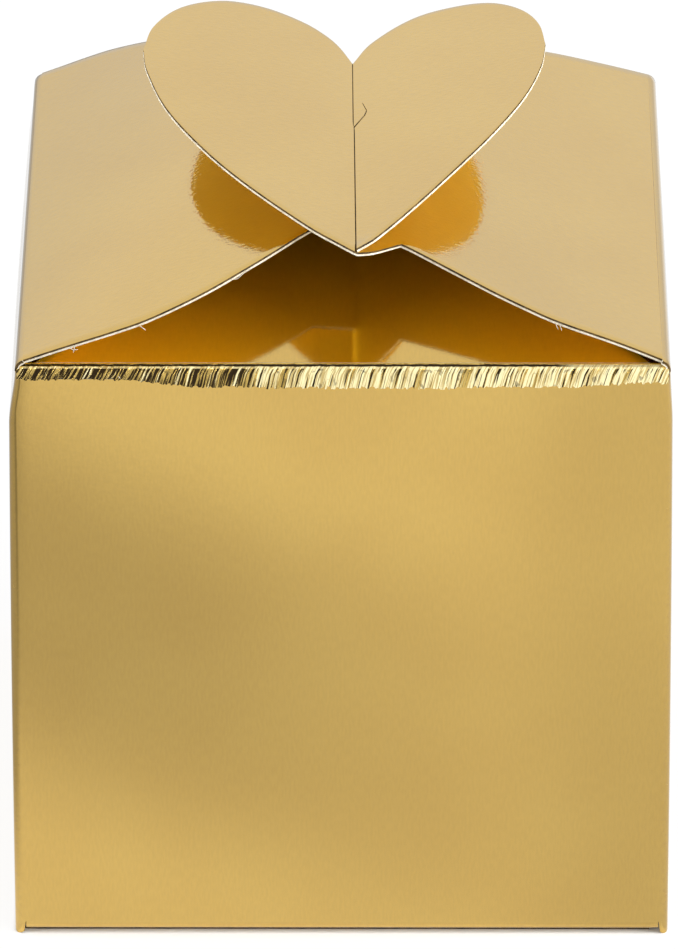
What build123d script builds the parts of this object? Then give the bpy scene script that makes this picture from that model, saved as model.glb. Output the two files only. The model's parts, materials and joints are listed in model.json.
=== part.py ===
"""Favor box of gold foil board with a heart that locks the lid: a cube with sloping roof flaps.

Millimetres, +Z up, front towards -Y. The origin is the middle of the base, on the table.
The box is one die-cut sheet. It is modelled as the panels that its creases divide it into, with a
bead of crushed board along each crease. A panel turns about the outer edge of its fold, so its end
stops just outside the bead and never meets it.
"""
import os
from math import atan2, cos, degrees, hypot, radians, sin, sqrt, tan

from build123d import *

# Box
box_width = 64.0
box_depth = 64.0
box_height = 64.0
board = 0.4

# Creases: the bead of crushed board inside a fold, and the round of the fold's outer edge
bead_radius = 0.8
fold_round = 0.45
bead_gap = 0.05
crease_end_gap = 0.15

# Roof flaps: they cross over the box at a ridge, which has slipped a little to the right
ridge_rise = 10.7
ridge_shift = 0.9
roof_setback = 0.5
scallop_start = 9.0
notch_offset = 4.4
notch_setback = 9.0
rear_notch_setback = 12.0

# Heart: its two halves are the ends of the roof flaps, each through the slit of the other
lobe_slope = 9.0
heart_reach = 52.0
tip_setback = 3.0
cleft_setback = 19.3
shoulder_setback = 22.5
crown_offset = 11.5
crown_setback = 9.4
flank_bulge = 3.2
slit_end = -1.5
slit_clearance = 0.12

# Dust flaps under the roof
dust_length = 20.0
dust_slope = 16.0
dust_drop = 0.5
dust_side_gap = 1.4
dust_corner_radius = 3.0

# Base: a tuck panel outside two shorter flaps
base_play = 0.15
base_flap_length = 18.0
base_flap_side_gap = 2.0
tuck_length = 12.0
tuck_lean = 8.0
tuck_wall_gap = 0.25
tuck_side_gap = 5.0
tuck_corner_radius = 6.0

# Seam at the back left corner: a glued tab inside the back wall
tab_width = 12.0
tab_end_gap = 3.0
glue_thickness = 0.1

half_width = box_width / 2
half_depth = box_depth / 2
panel_start = bead_radius + bead_gap
corner_clear = bead_radius + crease_end_gap
bottom_fold_z = board + base_play
dust_fold_z = box_height - dust_drop
ridge_z = box_height + ridge_rise
left_slope = degrees(atan2(ridge_rise, half_width + ridge_shift))
right_slope = degrees(atan2(ridge_rise, half_width - ridge_shift))
above_everything = box_height + box_width
out_of_the_way = box_width


def spot(axis, along, u, v):
    """A point at u, v of the cross section that stands across an axis, at a place along it."""
    return {"X": (along, u, v), "Y": (u, along, v), "Z": (u, v, along)}[axis]


def direction(axis):
    """The unit vector of a named axis."""
    return {"X": (1, 0, 0), "Y": (0, 1, 0), "Z": (0, 0, 1)}[axis]


def prism(axis, points, low, high):
    """A straight prism on a polygon of cross section points, between two places along an axis."""
    outline = Polyline(*[spot(axis, low, u, v) for u, v in points], close=True)
    return extrude(make_face(outline), amount=high - low, dir=direction(axis))


def plate(x_span, y_span, z_span):
    """A flat panel with its faces along the axes."""
    corners = [(x_span[0], y_span[0]), (x_span[1], y_span[0]), (x_span[1], y_span[1]), (x_span[0], y_span[1])]
    return prism("Z", corners, z_span[0], z_span[1])


def polar(middle, radius, angle):
    """A cross section point at a distance and an angle in degrees from another."""
    return (middle[0] + radius * cos(radians(angle)), middle[1] + radius * sin(radians(angle)))


def crease(axis, fold, first_angle, second_angle, low, high):
    """The bead of one crease: a sector about the fold line, between its two panels' directions."""
    half_angle = abs(second_angle - first_angle) / 2
    middle_angle = (first_angle + second_angle) / 2
    tangent = fold_round / tan(radians(half_angle))
    round_depth = fold_round / sin(radians(half_angle)) - fold_round

    def at(radius, angle):
        return spot(axis, low, *polar(fold, radius, angle))

    bead = ThreePointArc(
        at(bead_radius, first_angle), at(bead_radius, middle_angle), at(bead_radius, second_angle)
    )
    second_side = Line(at(bead_radius, second_angle), at(tangent, second_angle))
    outside = ThreePointArc(at(tangent, second_angle), at(round_depth, middle_angle), at(tangent, first_angle))
    first_side = Line(at(tangent, first_angle), at(bead_radius, first_angle))
    section = make_face([bead, second_side, outside, first_side])
    return extrude(section, amount=high - low, dir=direction(axis))


def leaf(axis, fold, angle, length, inner_side, low, high):
    """A panel that leaves a fold at an angle, its outer face through the fold line.

    inner_side is 1 where the board lies anticlockwise of the outer face, and -1 where clockwise.
    """
    inward = angle + 90 * inner_side
    near = polar(fold, panel_start, angle)
    far = polar(fold, length, angle)
    section = [near, far, polar(far, board, inward), polar(near, board, inward)]
    return prism(axis, section, low, high)


def mitred(fold_y, inward, length, side_gap, corner_radius):
    """A cutter, seen from above, for a flap that narrows at 45 degrees from a front or back fold."""
    reach = length + side_gap
    wide = half_width - side_gap
    narrow = half_width - reach
    outline = Polyline(
        (-wide, fold_y), (wide, fold_y), (narrow, fold_y + inward * length), (-narrow, fold_y + inward * length),
        close=True,
    )
    face = make_face(outline)
    ends = face.vertices().filter_by(lambda v: abs(v.Y - fold_y) > length / 2)
    return extrude(fillet(ends, corner_radius), amount=2 * above_everything, dir=(0, 0, 1), both=True)


def side_walls():
    """The left and right walls, between the corner creases."""
    depth_span = (-half_depth + panel_start, half_depth - panel_start)
    seam_span = (-half_depth + panel_start, seam_fold[1] - panel_start)
    top = box_height - panel_start
    return {
        "left_wall": plate((-half_width, -half_width + board), seam_span, (panel_start, top)),
        "right_wall": plate((half_width - board, half_width), depth_span, (crease_end_gap, top)),
    }


def end_walls():
    """The front and back walls. The back wall's left edge is cut, and laps over the glued tab."""
    z_span = (bottom_fold_z + panel_start, dust_fold_z - panel_start)
    right_end = half_width - panel_start
    return {
        "front_wall": plate((-half_width + panel_start, right_end), (-half_depth, -half_depth + board), z_span),
        "back_wall": plate((-half_width + bead_gap, right_end), (half_depth - board, half_depth), z_span),
    }


def corners():
    """The upright creases, and the tab and glue of the seam. The creases are the box's four feet."""
    top = box_height - corner_clear
    tab_y = (seam_fold[1] - board, seam_fold[1])
    tab_x = (-half_width + panel_start, -half_width + tab_width)
    tab_z = (bottom_fold_z + bead_radius + tab_end_gap, box_height - bead_radius - tab_end_gap)
    glue_y = (seam_fold[1], half_depth - board)
    glue_x = (-half_width + panel_start + board, -half_width + tab_width - board)
    return {
        "front_left_corner": crease("Z", (-half_width, -half_depth), 0, 90, 0, top),
        "front_right_corner": crease("Z", (half_width, -half_depth), 90, 180, 0, top),
        "back_right_corner": crease("Z", (half_width, half_depth), 180, 270, 0, top),
        "seam_corner": crease("Z", seam_fold, 270, 360, 0, top),
        "seam_tab": plate(tab_x, tab_y, tab_z),
        "seam_glue": plate(glue_x, glue_y, tab_z),
    }


def top_creases():
    """The creases that the roof flaps and the dust flaps turn on."""
    long_y = half_depth - crease_end_gap
    long_x = half_width - corner_clear - crease_end_gap
    return {
        "left_roof_crease": crease("Y", (-half_width, box_height), -90, left_slope, -long_y, long_y),
        "right_roof_crease": crease("Y", (half_width, box_height), 180 - right_slope, 270, -long_y, long_y),
        "front_flap_crease": crease("X", (-half_depth, dust_fold_z), -90, dust_slope, -long_x, long_x),
        "back_flap_crease": crease("X", (half_depth, dust_fold_z), 180 - dust_slope, 270, -long_x, long_x),
    }


def notch_curve(inner, outer, centre_y):
    """The edge of a roof flap from its notch out to where the edge runs straight, as one arc."""
    run = abs(outer[0] - inner[0])
    rise = abs(outer[1] - inner[1])
    radius = (run**2 + rise**2) / (2 * rise)
    towards = 1 if centre_y > outer[1] else -1
    middle = (outer[0], outer[1] + towards * radius)
    spread = degrees(atan2(run, radius - rise)) / 2
    side = 1 if inner[0] > outer[0] else -1
    angle = radians(spread)
    through = (middle[0] + side * radius * sin(angle), middle[1] - towards * radius * cos(angle))
    return ThreePointArc(inner, through, outer)


def roof_outline(side):
    """A cutter for a roof flap, seen from above: side is -1 on the left and 1 on the right."""
    tip = (ridge_shift, -half_depth + tip_setback)
    cleft = (ridge_shift, half_depth - cleft_setback)
    notch_x = ridge_shift + side * notch_offset
    front_notch = (notch_x, -half_depth + notch_setback)
    rear_notch = (notch_x, half_depth - rear_notch_setback)
    straight_x = side * (half_width - scallop_start)
    front_edge = (straight_x, -half_depth + roof_setback)
    rear_edge = (straight_x, half_depth - roof_setback)
    beyond = side * out_of_the_way
    edges = [
        Line(tip, front_notch),
        notch_curve(front_notch, front_edge, 0),
        Line(front_edge, (beyond, front_edge[1])),
        Line((beyond, front_edge[1]), (beyond, rear_edge[1])),
        Line((beyond, rear_edge[1]), rear_edge),
        notch_curve(rear_notch, rear_edge, 0),
        Line(rear_notch, cleft),
        Line(cleft, tip),
    ]
    return extrude(make_face(edges), amount=above_everything, dir=(0, 0, 1))


def heart_outline(side):
    """A cutter for the half of the heart on one side of the ridge, seen from above."""
    tip = (ridge_shift, -half_depth + tip_setback)
    cleft = (ridge_shift, half_depth - cleft_setback)
    flank = (side * (heart_reach - half_width), half_depth - shoulder_setback)
    crown = (side * crown_offset, half_depth - crown_setback)
    run, rise = flank[0] - tip[0], flank[1] - tip[1]
    chord = hypot(run, rise)
    belly = (
        (tip[0] + flank[0]) / 2 + side * flank_bulge * rise / chord,
        (tip[1] + flank[1]) / 2 - side * flank_bulge * run / chord,
    )
    lobe_x, lobe_y = abs(flank[0] - crown[0]), crown[1] - flank[1]
    diagonal = sqrt(0.5)
    shoulder = (crown[0] + side * lobe_x * diagonal, flank[1] + lobe_y * diagonal)
    to_cleft_x, to_cleft_y = abs(crown[0] - cleft[0]), crown[1] - cleft[1]
    dip_radius = (to_cleft_x**2 + to_cleft_y**2) / (2 * to_cleft_y)
    half_dip = atan2(to_cleft_x, dip_radius - to_cleft_y) / 2
    brow = (crown[0] - side * dip_radius * sin(half_dip), crown[1] - dip_radius * (1 - cos(half_dip)))
    edges = [
        ThreePointArc(tip, belly, flank),
        Spline(flank, shoulder, crown, tangents=[(0, 1), (-side, 0)]),
        ThreePointArc(crown, brow, cleft),
        Line(cleft, tip),
    ]
    return extrude(make_face(edges), amount=above_everything, dir=(0, 0, 1))


def slit(other_roof_slope, y_span):
    """The slit that lets the other flap through: wide enough for its board at the crossing angle."""
    opening = tan(radians(other_roof_slope)) + tan(radians(lobe_slope))
    half_slit = (board / cos(radians(other_roof_slope)) + slit_clearance) / opening
    return plate((ridge_shift - half_slit, ridge_shift + half_slit), y_span, (0, above_everything))


def roof_and_heart(side, slope, slit_cut):
    """One roof flap: its panel up to the ridge, and the half of the heart beyond the ridge."""
    wall_x = side * half_width
    angle = slope if side < 0 else 180 - slope
    panel = leaf("Y", (wall_x, box_height), angle, box_width, side, -half_depth, half_depth)
    panel = (panel & roof_outline(side)) - slit_cut
    lobe_angle = lobe_slope if side < 0 else 180 - lobe_slope
    inward = lobe_angle + 90 * side
    ridge = (ridge_shift, ridge_z)
    drop = board / cos(radians(lobe_slope))
    far = polar(ridge, heart_reach, lobe_angle)
    section = [ridge, far, polar(far, board, inward), (ridge_shift, ridge_z - drop)]
    lobe = prism("Y", section, -half_depth, half_depth)
    lobe = (lobe & heart_outline(-side)) - slit_cut
    return panel, lobe


def roof():
    """Both roof flaps. The left one is slit from the front, and the right one from the back."""
    front_slit = slit(right_slope, (-half_depth, slit_end + slit_clearance))
    rear_slit = slit(left_slope, (slit_end - slit_clearance, half_depth))
    left_panel, right_lobe = roof_and_heart(-1, left_slope, front_slit)
    right_panel, left_lobe = roof_and_heart(1, right_slope, rear_slit)
    return {
        "left_roof_panel": left_panel,
        "right_heart_half": right_lobe,
        "right_roof_panel": right_panel,
        "left_heart_half": left_lobe,
    }


def dust_flaps():
    """The front and back flaps that lie under the roof, sloping up towards the middle."""
    front = leaf("X", (-half_depth, dust_fold_z), dust_slope, dust_length, -1, -half_width, half_width)
    back = leaf("X", (half_depth, dust_fold_z), 180 - dust_slope, dust_length, 1, -half_width, half_width)
    flat_length = dust_length * cos(radians(dust_slope))
    front_cut = mitred(-half_depth, 1, flat_length + board, dust_side_gap, dust_corner_radius)
    back_cut = mitred(half_depth, -1, flat_length + board, dust_side_gap, dust_corner_radius)
    return {"front_dust_flap": front & front_cut, "back_dust_flap": back & back_cut}


def base():
    """The tuck panel under the box, and the two shorter flaps that lie on it."""
    tuck_fold = (half_width - board - tuck_wall_gap, 0)
    long_y = half_depth - corner_clear
    long_x = half_width - corner_clear
    tuck_y = half_depth - tuck_side_gap
    tuck_angle = 90 + tuck_lean
    panel_x = (-half_width + panel_start, tuck_fold[0] - panel_start)
    flap_z = (bottom_fold_z, bottom_fold_z + board)
    tuck = leaf("Y", tuck_fold, tuck_angle, tuck_length, 1, -tuck_y, tuck_y)
    tuck_ends = tuck.edges().filter_by(lambda e: abs(e.center().Z) > tuck_length / 2 and e.length < 2 * board)
    tuck_ends = tuck_ends.filter_by(lambda e: abs(abs(e.center().Y) - tuck_y) < board)
    front_cut = mitred(-half_depth, 1, base_flap_length, base_flap_side_gap, dust_corner_radius)
    back_cut = mitred(half_depth, -1, base_flap_length, base_flap_side_gap, dust_corner_radius)
    flap_start, flap_end = half_depth - panel_start, half_depth - base_flap_length
    front_flap = plate((-half_width, half_width), (-flap_start, -flap_end), flap_z)
    back_flap = plate((-half_width, half_width), (flap_end, flap_start), flap_z)
    return {
        "base_crease": crease("Y", (-half_width, 0), 0, 90, -long_y, seam_fold[1] - corner_clear),
        "base_panel": plate(panel_x, (-long_y, long_y), (0, board)),
        "tuck_crease": crease("Y", tuck_fold, tuck_angle, 180, -tuck_y, tuck_y),
        "tuck_flap": fillet(tuck_ends, tuck_corner_radius),
        "front_base_crease": crease("X", (-half_depth, bottom_fold_z), 0, 90, -long_x, long_x),
        "front_base_flap": front_flap & front_cut,
        "back_base_crease": crease("X", (half_depth, bottom_fold_z), 90, 180, -long_x, long_x),
        "back_base_flap": back_flap & back_cut,
    }


seam_fold = (-half_width, half_depth - board - glue_thickness)

pieces = side_walls() | end_walls() | corners() | top_creases() | roof() | dust_flaps() | base()

os.makedirs("parts", exist_ok=True)
for name, shape in pieces.items():
    export_step(shape, f"parts/{name}.step")
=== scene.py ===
"""Gold foil favor box with a heart lock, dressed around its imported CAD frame.

The box is one die-cut sheet of foil board, so each piece here is a stretch of that sheet: a grid
bent to its place by its fold lines, then given the board's thickness, a pale core at the cut
edges and a lip of crushed foil beside it. Metres, front towards -Y, as in the frame.
"""
import json
import logging
from dataclasses import dataclass, field
from enum import Enum
from functools import cached_property
from math import atan2, cos, hypot, pi, radians, sin, sqrt, tan
from typing import Callable, Dict, List, Mapping, NamedTuple, Optional, Sequence, Set, Tuple, Union

import bmesh
import bpy
from mathutils import Matrix, Vector, noise
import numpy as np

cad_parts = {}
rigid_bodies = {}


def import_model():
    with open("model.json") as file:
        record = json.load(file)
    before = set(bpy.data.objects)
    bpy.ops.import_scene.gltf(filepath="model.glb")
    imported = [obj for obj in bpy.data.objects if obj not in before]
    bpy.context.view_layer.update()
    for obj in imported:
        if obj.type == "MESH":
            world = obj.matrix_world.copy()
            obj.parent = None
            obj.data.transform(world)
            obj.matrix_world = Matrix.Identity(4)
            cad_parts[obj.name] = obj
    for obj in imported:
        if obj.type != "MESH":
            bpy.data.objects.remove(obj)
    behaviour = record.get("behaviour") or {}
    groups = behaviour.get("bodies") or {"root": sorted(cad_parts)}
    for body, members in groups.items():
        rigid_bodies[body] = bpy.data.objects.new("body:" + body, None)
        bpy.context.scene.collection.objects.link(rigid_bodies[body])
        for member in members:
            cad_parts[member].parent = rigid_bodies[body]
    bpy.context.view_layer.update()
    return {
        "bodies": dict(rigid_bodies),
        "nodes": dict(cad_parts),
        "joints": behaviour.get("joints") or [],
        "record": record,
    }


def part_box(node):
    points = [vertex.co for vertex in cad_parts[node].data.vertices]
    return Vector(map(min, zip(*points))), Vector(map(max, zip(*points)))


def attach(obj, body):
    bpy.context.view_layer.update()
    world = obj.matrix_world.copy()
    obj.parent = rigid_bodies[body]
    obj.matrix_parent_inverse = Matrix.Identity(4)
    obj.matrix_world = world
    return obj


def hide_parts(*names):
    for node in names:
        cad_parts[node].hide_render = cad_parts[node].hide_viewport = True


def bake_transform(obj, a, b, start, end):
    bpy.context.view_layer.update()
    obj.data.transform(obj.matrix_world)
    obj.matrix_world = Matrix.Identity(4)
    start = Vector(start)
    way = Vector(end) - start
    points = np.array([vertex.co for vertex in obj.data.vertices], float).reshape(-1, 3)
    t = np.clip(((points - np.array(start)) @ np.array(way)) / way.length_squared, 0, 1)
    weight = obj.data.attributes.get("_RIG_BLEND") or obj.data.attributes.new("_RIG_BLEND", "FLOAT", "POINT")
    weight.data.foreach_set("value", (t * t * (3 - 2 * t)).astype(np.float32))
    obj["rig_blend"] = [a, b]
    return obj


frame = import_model()

LOG = logging.getLogger("favor_box")
MM = 0.001
SHEET_MAP = "sheet"
BEND_MARK = "bend"
JOINT_MARK = "joint"

Plan = Tuple[float, float]
Spot = Tuple[float, float, float]
Colour = Tuple[float, float, float, float]
Ramp = Tuple[float, float, float, float]
Socket = bpy.types.NodeSocket
Sockets = Mapping[str, Socket]
Feed = Union[Socket, float, Spot, Colour, None]
Place = Callable[[float, float], Vector]


class Side(Enum):
    """The side of the box that a roof flap hangs from."""

    LEFT = -1
    RIGHT = 1


class End(Enum):
    """The front or the back of the box."""

    FRONT = -1
    BACK = 1


# How far the side walls stand out past the folds, at the foot and at the waist
SWELL = {Side.LEFT: (0.74 * MM, 0.44 * MM), Side.RIGHT: (0.34 * MM, 0.06 * MM)}
# How steeply the roof flaps leave their folds
ROOF_SLOPE = {Side.LEFT: radians(21.5), Side.RIGHT: radians(20.0)}
# How far the roof draws in the tops of the side walls
ROOF_DRAW = 0.22 * MM
# How far below the dust flaps' hinges the front and back walls end, under the rolled folds
ROLL_DROP = 1.15 * MM
# How far the sharp corner of a base flap's fold lies out from its hinge and below it
BASE_CORNER = (0.14 * MM, 0.2 * MM)


def ease(value: float, low: float = 0.0, high: float = 1.0) -> float:
    """A smooth step from 0 at low to 1 at high.

    Args:
        value: The place to look at.
        low: Where the step starts.
        high: Where the step ends.

    Returns:
        A share from 0 to 1.
    """
    share = min(1.0, max(0.0, (value - low) / (high - low)))
    return share * share * (3 - 2 * share)


def spread(low: float, high: float, count: int) -> List[float]:
    """Evenly spaced stops, both ends included."""
    return [low + (high - low) * i / count for i in range(count + 1)]


def bend_point(first: Plan, corner: Plan, last: Plan, share: float) -> Plan:
    """A point of the rounded bend that leaves first and reaches last, both aimed at the corner.

    Args:
        first: Where the bend starts.
        corner: Where the two straight parts would meet.
        last: Where the bend ends.
        share: How far along, from 0 to 1.

    Returns:
        The point in the cross section.
    """
    a, b, c = (1 - share) ** 2, 2 * share * (1 - share), share**2
    return (a * first[0] + b * corner[0] + c * last[0], a * first[1] + b * corner[1] + c * last[1])


class SmoothLine:
    """A smooth line through a few plan points, measured by its share of the way along."""

    HALVINGS = 30

    def __init__(self, points: Sequence[Plan]) -> None:
        """Keeps the points and their distances along the line.

        Args:
            points: The places that the line goes through, in order.
        """
        self.points = [Vector(p) for p in points]
        steps = [(b - a).length for a, b in zip(self.points, self.points[1:])]
        total = sum(steps)
        self.marks = [0.0]
        for step in steps:
            self.marks.append(self.marks[-1] + step / total)

    @classmethod
    def of_mm(cls, points: Sequence[Plan]) -> "SmoothLine":
        """A smooth line through points that are given in millimetres."""
        return cls([(x * MM, y * MM) for x, y in points])

    def slope(self, index: int) -> Vector:
        """The direction at a point, from its neighbours."""
        low, high = max(0, index - 1), min(len(self.points) - 1, index + 1)
        return (self.points[high] - self.points[low]) / (self.marks[high] - self.marks[low])

    def at(self, share: float) -> Vector:
        """The point at a share of the way along.

        Args:
            share: From 0 at the first point to 1 at the last.

        Returns:
            The point in plan.
        """
        share = min(1.0, max(0.0, share))
        index = 0
        while index < len(self.points) - 2 and share > self.marks[index + 1]:
            index += 1
        length = self.marks[index + 1] - self.marks[index]
        t = (share - self.marks[index]) / length
        t2, t3 = t * t, t * t * t
        return (
            self.points[index] * (2 * t3 - 3 * t2 + 1)
            + self.slope(index) * (length * (t3 - 2 * t2 + t))
            + self.points[index + 1] * (3 * t2 - 2 * t3)
            + self.slope(index + 1) * (length * (t3 - t2))
        )

    def across(self, x: float) -> float:
        """The line's y where it passes x, for a line that runs one way in x.

        Args:
            x: The place to look at.

        Returns:
            The y there.
        """
        low, high = 0.0, 1.0
        rising = self.points[-1].x > self.points[0].x
        for _ in range(self.HALVINGS):
            middle = (low + high) / 2
            if (self.at(middle).x < x) == rising:
                low = middle
            else:
                high = middle
        return self.at((low + high) / 2).y


@dataclass(frozen=True)
class BoxFrame:
    """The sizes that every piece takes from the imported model, in metres."""

    half_width: float
    half_depth: float
    roof_fold: float
    dust_fold: float
    bottom_fold: float
    board: float
    start: float
    ridge_x: float
    ridge_z: float
    seam_y: float

    @classmethod
    def read(cls, packed: Dict) -> "BoxFrame":
        """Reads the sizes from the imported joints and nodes.


        Returns:
            The sizes.
        """
        places = {joint["name"]: joint["pos_m"] for joint in packed["joints"]}
        wall_low, wall_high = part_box("left_wall")
        ridge_low, ridge_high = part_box("right_roof_panel")
        return cls(
            half_width=places["right_roof_hinge"][0],
            half_depth=places["back_flap_hinge"][1],
            roof_fold=places["left_roof_hinge"][2],
            dust_fold=places["front_flap_hinge"][2],
            bottom_fold=places["front_base_hinge"][2],
            board=wall_high[0] - wall_low[0],
            start=places["left_roof_hinge"][2] - wall_high[2],
            ridge_x=ridge_low[0],
            ridge_z=ridge_high[2],
            seam_y=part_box("seam_tab")[1][1],
        )

    @property
    def fold_x(self) -> float:
        """How far out the roof folds lie."""
        return self.half_width - ROOF_DRAW


SIZES = BoxFrame.read(frame)


class Nodes:
    """A short way to add and join the nodes of one tree."""

    def __init__(self, tree: bpy.types.NodeTree) -> None:
        """Keeps the tree.

        Args:
            tree: The material's, group's or world's node tree.
        """
        self.tree = tree

    def add(self, kind: str, **settings: object) -> bpy.types.Node:
        """Adds a node and sets its properties.

        Args:
            kind: The node's type name.
            **settings: Properties of the node.

        Returns:
            The node.
        """
        node = self.tree.nodes.new(kind)
        for name, value in settings.items():
            setattr(node, name, value)
        return node

    def feed(self, value: Feed, socket: Socket) -> None:
        """Joins a socket to another, or sets it to a plain value.

        Args:
            value: A socket or a plain value, or None to leave the socket as it is.
            socket: The socket to feed.
        """
        if isinstance(value, Socket):
            self.tree.links.new(value, socket)
        elif value is not None:
            socket.default_value = value

    def fill(self, node: bpy.types.Node, values: Dict[str, Feed]) -> None:
        """Feeds several inputs of a node.

        Args:
            node: The node.
            values: A socket or a plain value for each input's name.
        """
        for name, value in values.items():
            self.feed(value, node.inputs[name])

    def pour(self, node: bpy.types.Node, *values: Feed) -> Socket:
        """Feeds a node's inputs in their order.

        Args:
            node: The node.
            *values: A socket or a plain value for each input.

        Returns:
            The node's first output.
        """
        for socket, value in zip(node.inputs, values):
            self.feed(value, socket)
        return node.outputs[0]

    def math(self, operation: str, first: Feed, second: Feed = None, clamp: bool = False) -> Socket:
        """Adds a Math node.

        Args:
            operation: The node's operation.
            first: A socket or a number.
            second: A socket or a number, where the operation has one.
            clamp: Whether the result is kept from 0 to 1.

        Returns:
            The node's output.
        """
        return self.pour(self.add("ShaderNodeMath", operation=operation, use_clamp=clamp), first, second)

    def times(self, first: Feed, second: Feed) -> Socket:
        """The product of two values."""
        return self.math("MULTIPLY", first, second)

    def plus(self, first: Feed, second: Feed) -> Socket:
        """The sum of two values."""
        return self.math("ADD", first, second)

    def minus(self, first: Feed, second: Feed) -> Socket:
        """The first value less the second."""
        return self.math("SUBTRACT", first, second)

    def rest(self, share: Feed) -> Socket:
        """What a share leaves of 1."""
        return self.math("SUBTRACT", 1.0, share)

    def most(self, first: Feed, second: Feed) -> Socket:
        """The greater of two values."""
        return self.math("MAXIMUM", first, second)

    def noise(self, vector: Socket, scale: float, detail: float = 2.0) -> Socket:
        """Adds a noise pattern.

        Args:
            vector: Where the pattern is read.
            scale: Its features per metre.
            detail: Its finer layers.

        Returns:
            The pattern's value, from 0 to 1.
        """
        node = self.add("ShaderNodeTexNoise")
        self.fill(node, {"Vector": vector, "Scale": scale, "Detail": detail})
        return node.outputs["Fac"]

    def stretch(self, vector: Socket, scale: Spot) -> Socket:
        """Scales a pattern's coordinates.

        Args:
            vector: The coordinates.
            scale: The scale of each.

        Returns:
            The scaled coordinates.
        """
        node = self.add("ShaderNodeMapping")
        self.fill(node, {"Vector": vector, "Scale": scale})
        return node.outputs["Vector"]

    def ranged(
        self, value: Socket, low: float, high: float, to_low: float = 0.0, to_high: float = 1.0
    ) -> Socket:
        """Maps a value from one range to another, smoothly and held at the ends.

        Args:
            value: A socket.
            low: Where the first range starts.
            high: Where it ends.
            to_low: Where the second range starts.
            to_high: Where it ends.

        Returns:
            The mapped value.
        """
        node = self.add("ShaderNodeMapRange", interpolation_type="SMOOTHSTEP")
        return self.pour(node, value, low, high, to_low, to_high)

    def blend(self, share: Feed, first: Feed, second: Feed, mode: str = "MIX") -> Socket:
        """Mixes two colours.

        Args:
            share: A socket or a number: how much of the second.
            first: A socket or a colour.
            second: A socket or a colour.
            mode: How they mix.

        Returns:
            The mixed colour.
        """
        node = self.add("ShaderNodeMix", data_type="RGBA", blend_type=mode)
        self.feed(share, node.inputs["Factor"])
        for name, value in (("A", first), ("B", second)):
            socket = [s for s in node.inputs if s.name == name and s.type == "RGBA"][0]
            self.feed(value, socket)
        return [s for s in node.outputs if s.type == "RGBA"][0]

    def mix(self, share: Feed, first: Socket, second: Socket) -> Socket:
        """Mixes two shaders, the share telling how much of the second."""
        return self.pour(self.add("ShaderNodeMixShader"), share, first, second)

    def sheet(self) -> Socket:
        """The sheet's own flat coordinates."""
        return self.add("ShaderNodeUVMap", uv_map=SHEET_MAP).outputs["UV"]

    def where(self, kind: str = "Object") -> Socket:
        """The coordinates of a kind, the object's own unless another is named."""
        return self.add("ShaderNodeTexCoord").outputs[kind]

    def parts(self, vector: Socket) -> Sequence[Socket]:
        """Takes a vector apart.

        Args:
            vector: The vector.

        Returns:
            Its x, y and z.
        """
        node = self.add("ShaderNodeSeparateXYZ")
        self.pour(node, vector)
        return node.outputs


class SharedEffect:
    """An effect that several finishes share, kept as one node group."""

    NAME = ""
    INPUTS: Dict[str, str] = {}
    OUTPUTS: Dict[str, str] = {}

    @classmethod
    def pattern(cls, nodes: Nodes, entry: Sockets) -> Dict[str, Socket]:
        """Draws the effect's pattern.

        Args:
            nodes: The group's nodes.
            entry: The group's inputs.

        Returns:
            What goes to each of the group's outputs.
        """
        raise NotImplementedError

    @classmethod
    def build(cls) -> bpy.types.NodeTree:
        """Builds the group.

        Returns:
            The group's tree, with its inputs and outputs.
        """
        tree = bpy.data.node_groups.new(cls.NAME, "ShaderNodeTree")
        for way, sockets in (("INPUT", cls.INPUTS), ("OUTPUT", cls.OUTPUTS)):
            for name, kind in sockets.items():
                tree.interface.new_socket(name, in_out=way, socket_type=f"NodeSocket{kind}")
        nodes = Nodes(tree)
        entry = nodes.add("NodeGroupInput")
        out = nodes.add("NodeGroupOutput")
        nodes.fill(out, cls.pattern(nodes, entry.outputs))
        return tree

    @classmethod
    def place(cls, nodes: Nodes, values: Dict[str, Feed]) -> Sockets:
        """Places the effect in a material, and builds its group the first time.

        Args:
            nodes: The material's nodes.
            values: A socket or a plain value for each input's name.

        Returns:
            The effect's outputs.
        """
        node = nodes.add("ShaderNodeGroup", node_tree=bpy.data.node_groups.get(cls.NAME) or cls.build())
        nodes.fill(node, values)
        return node.outputs


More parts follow.
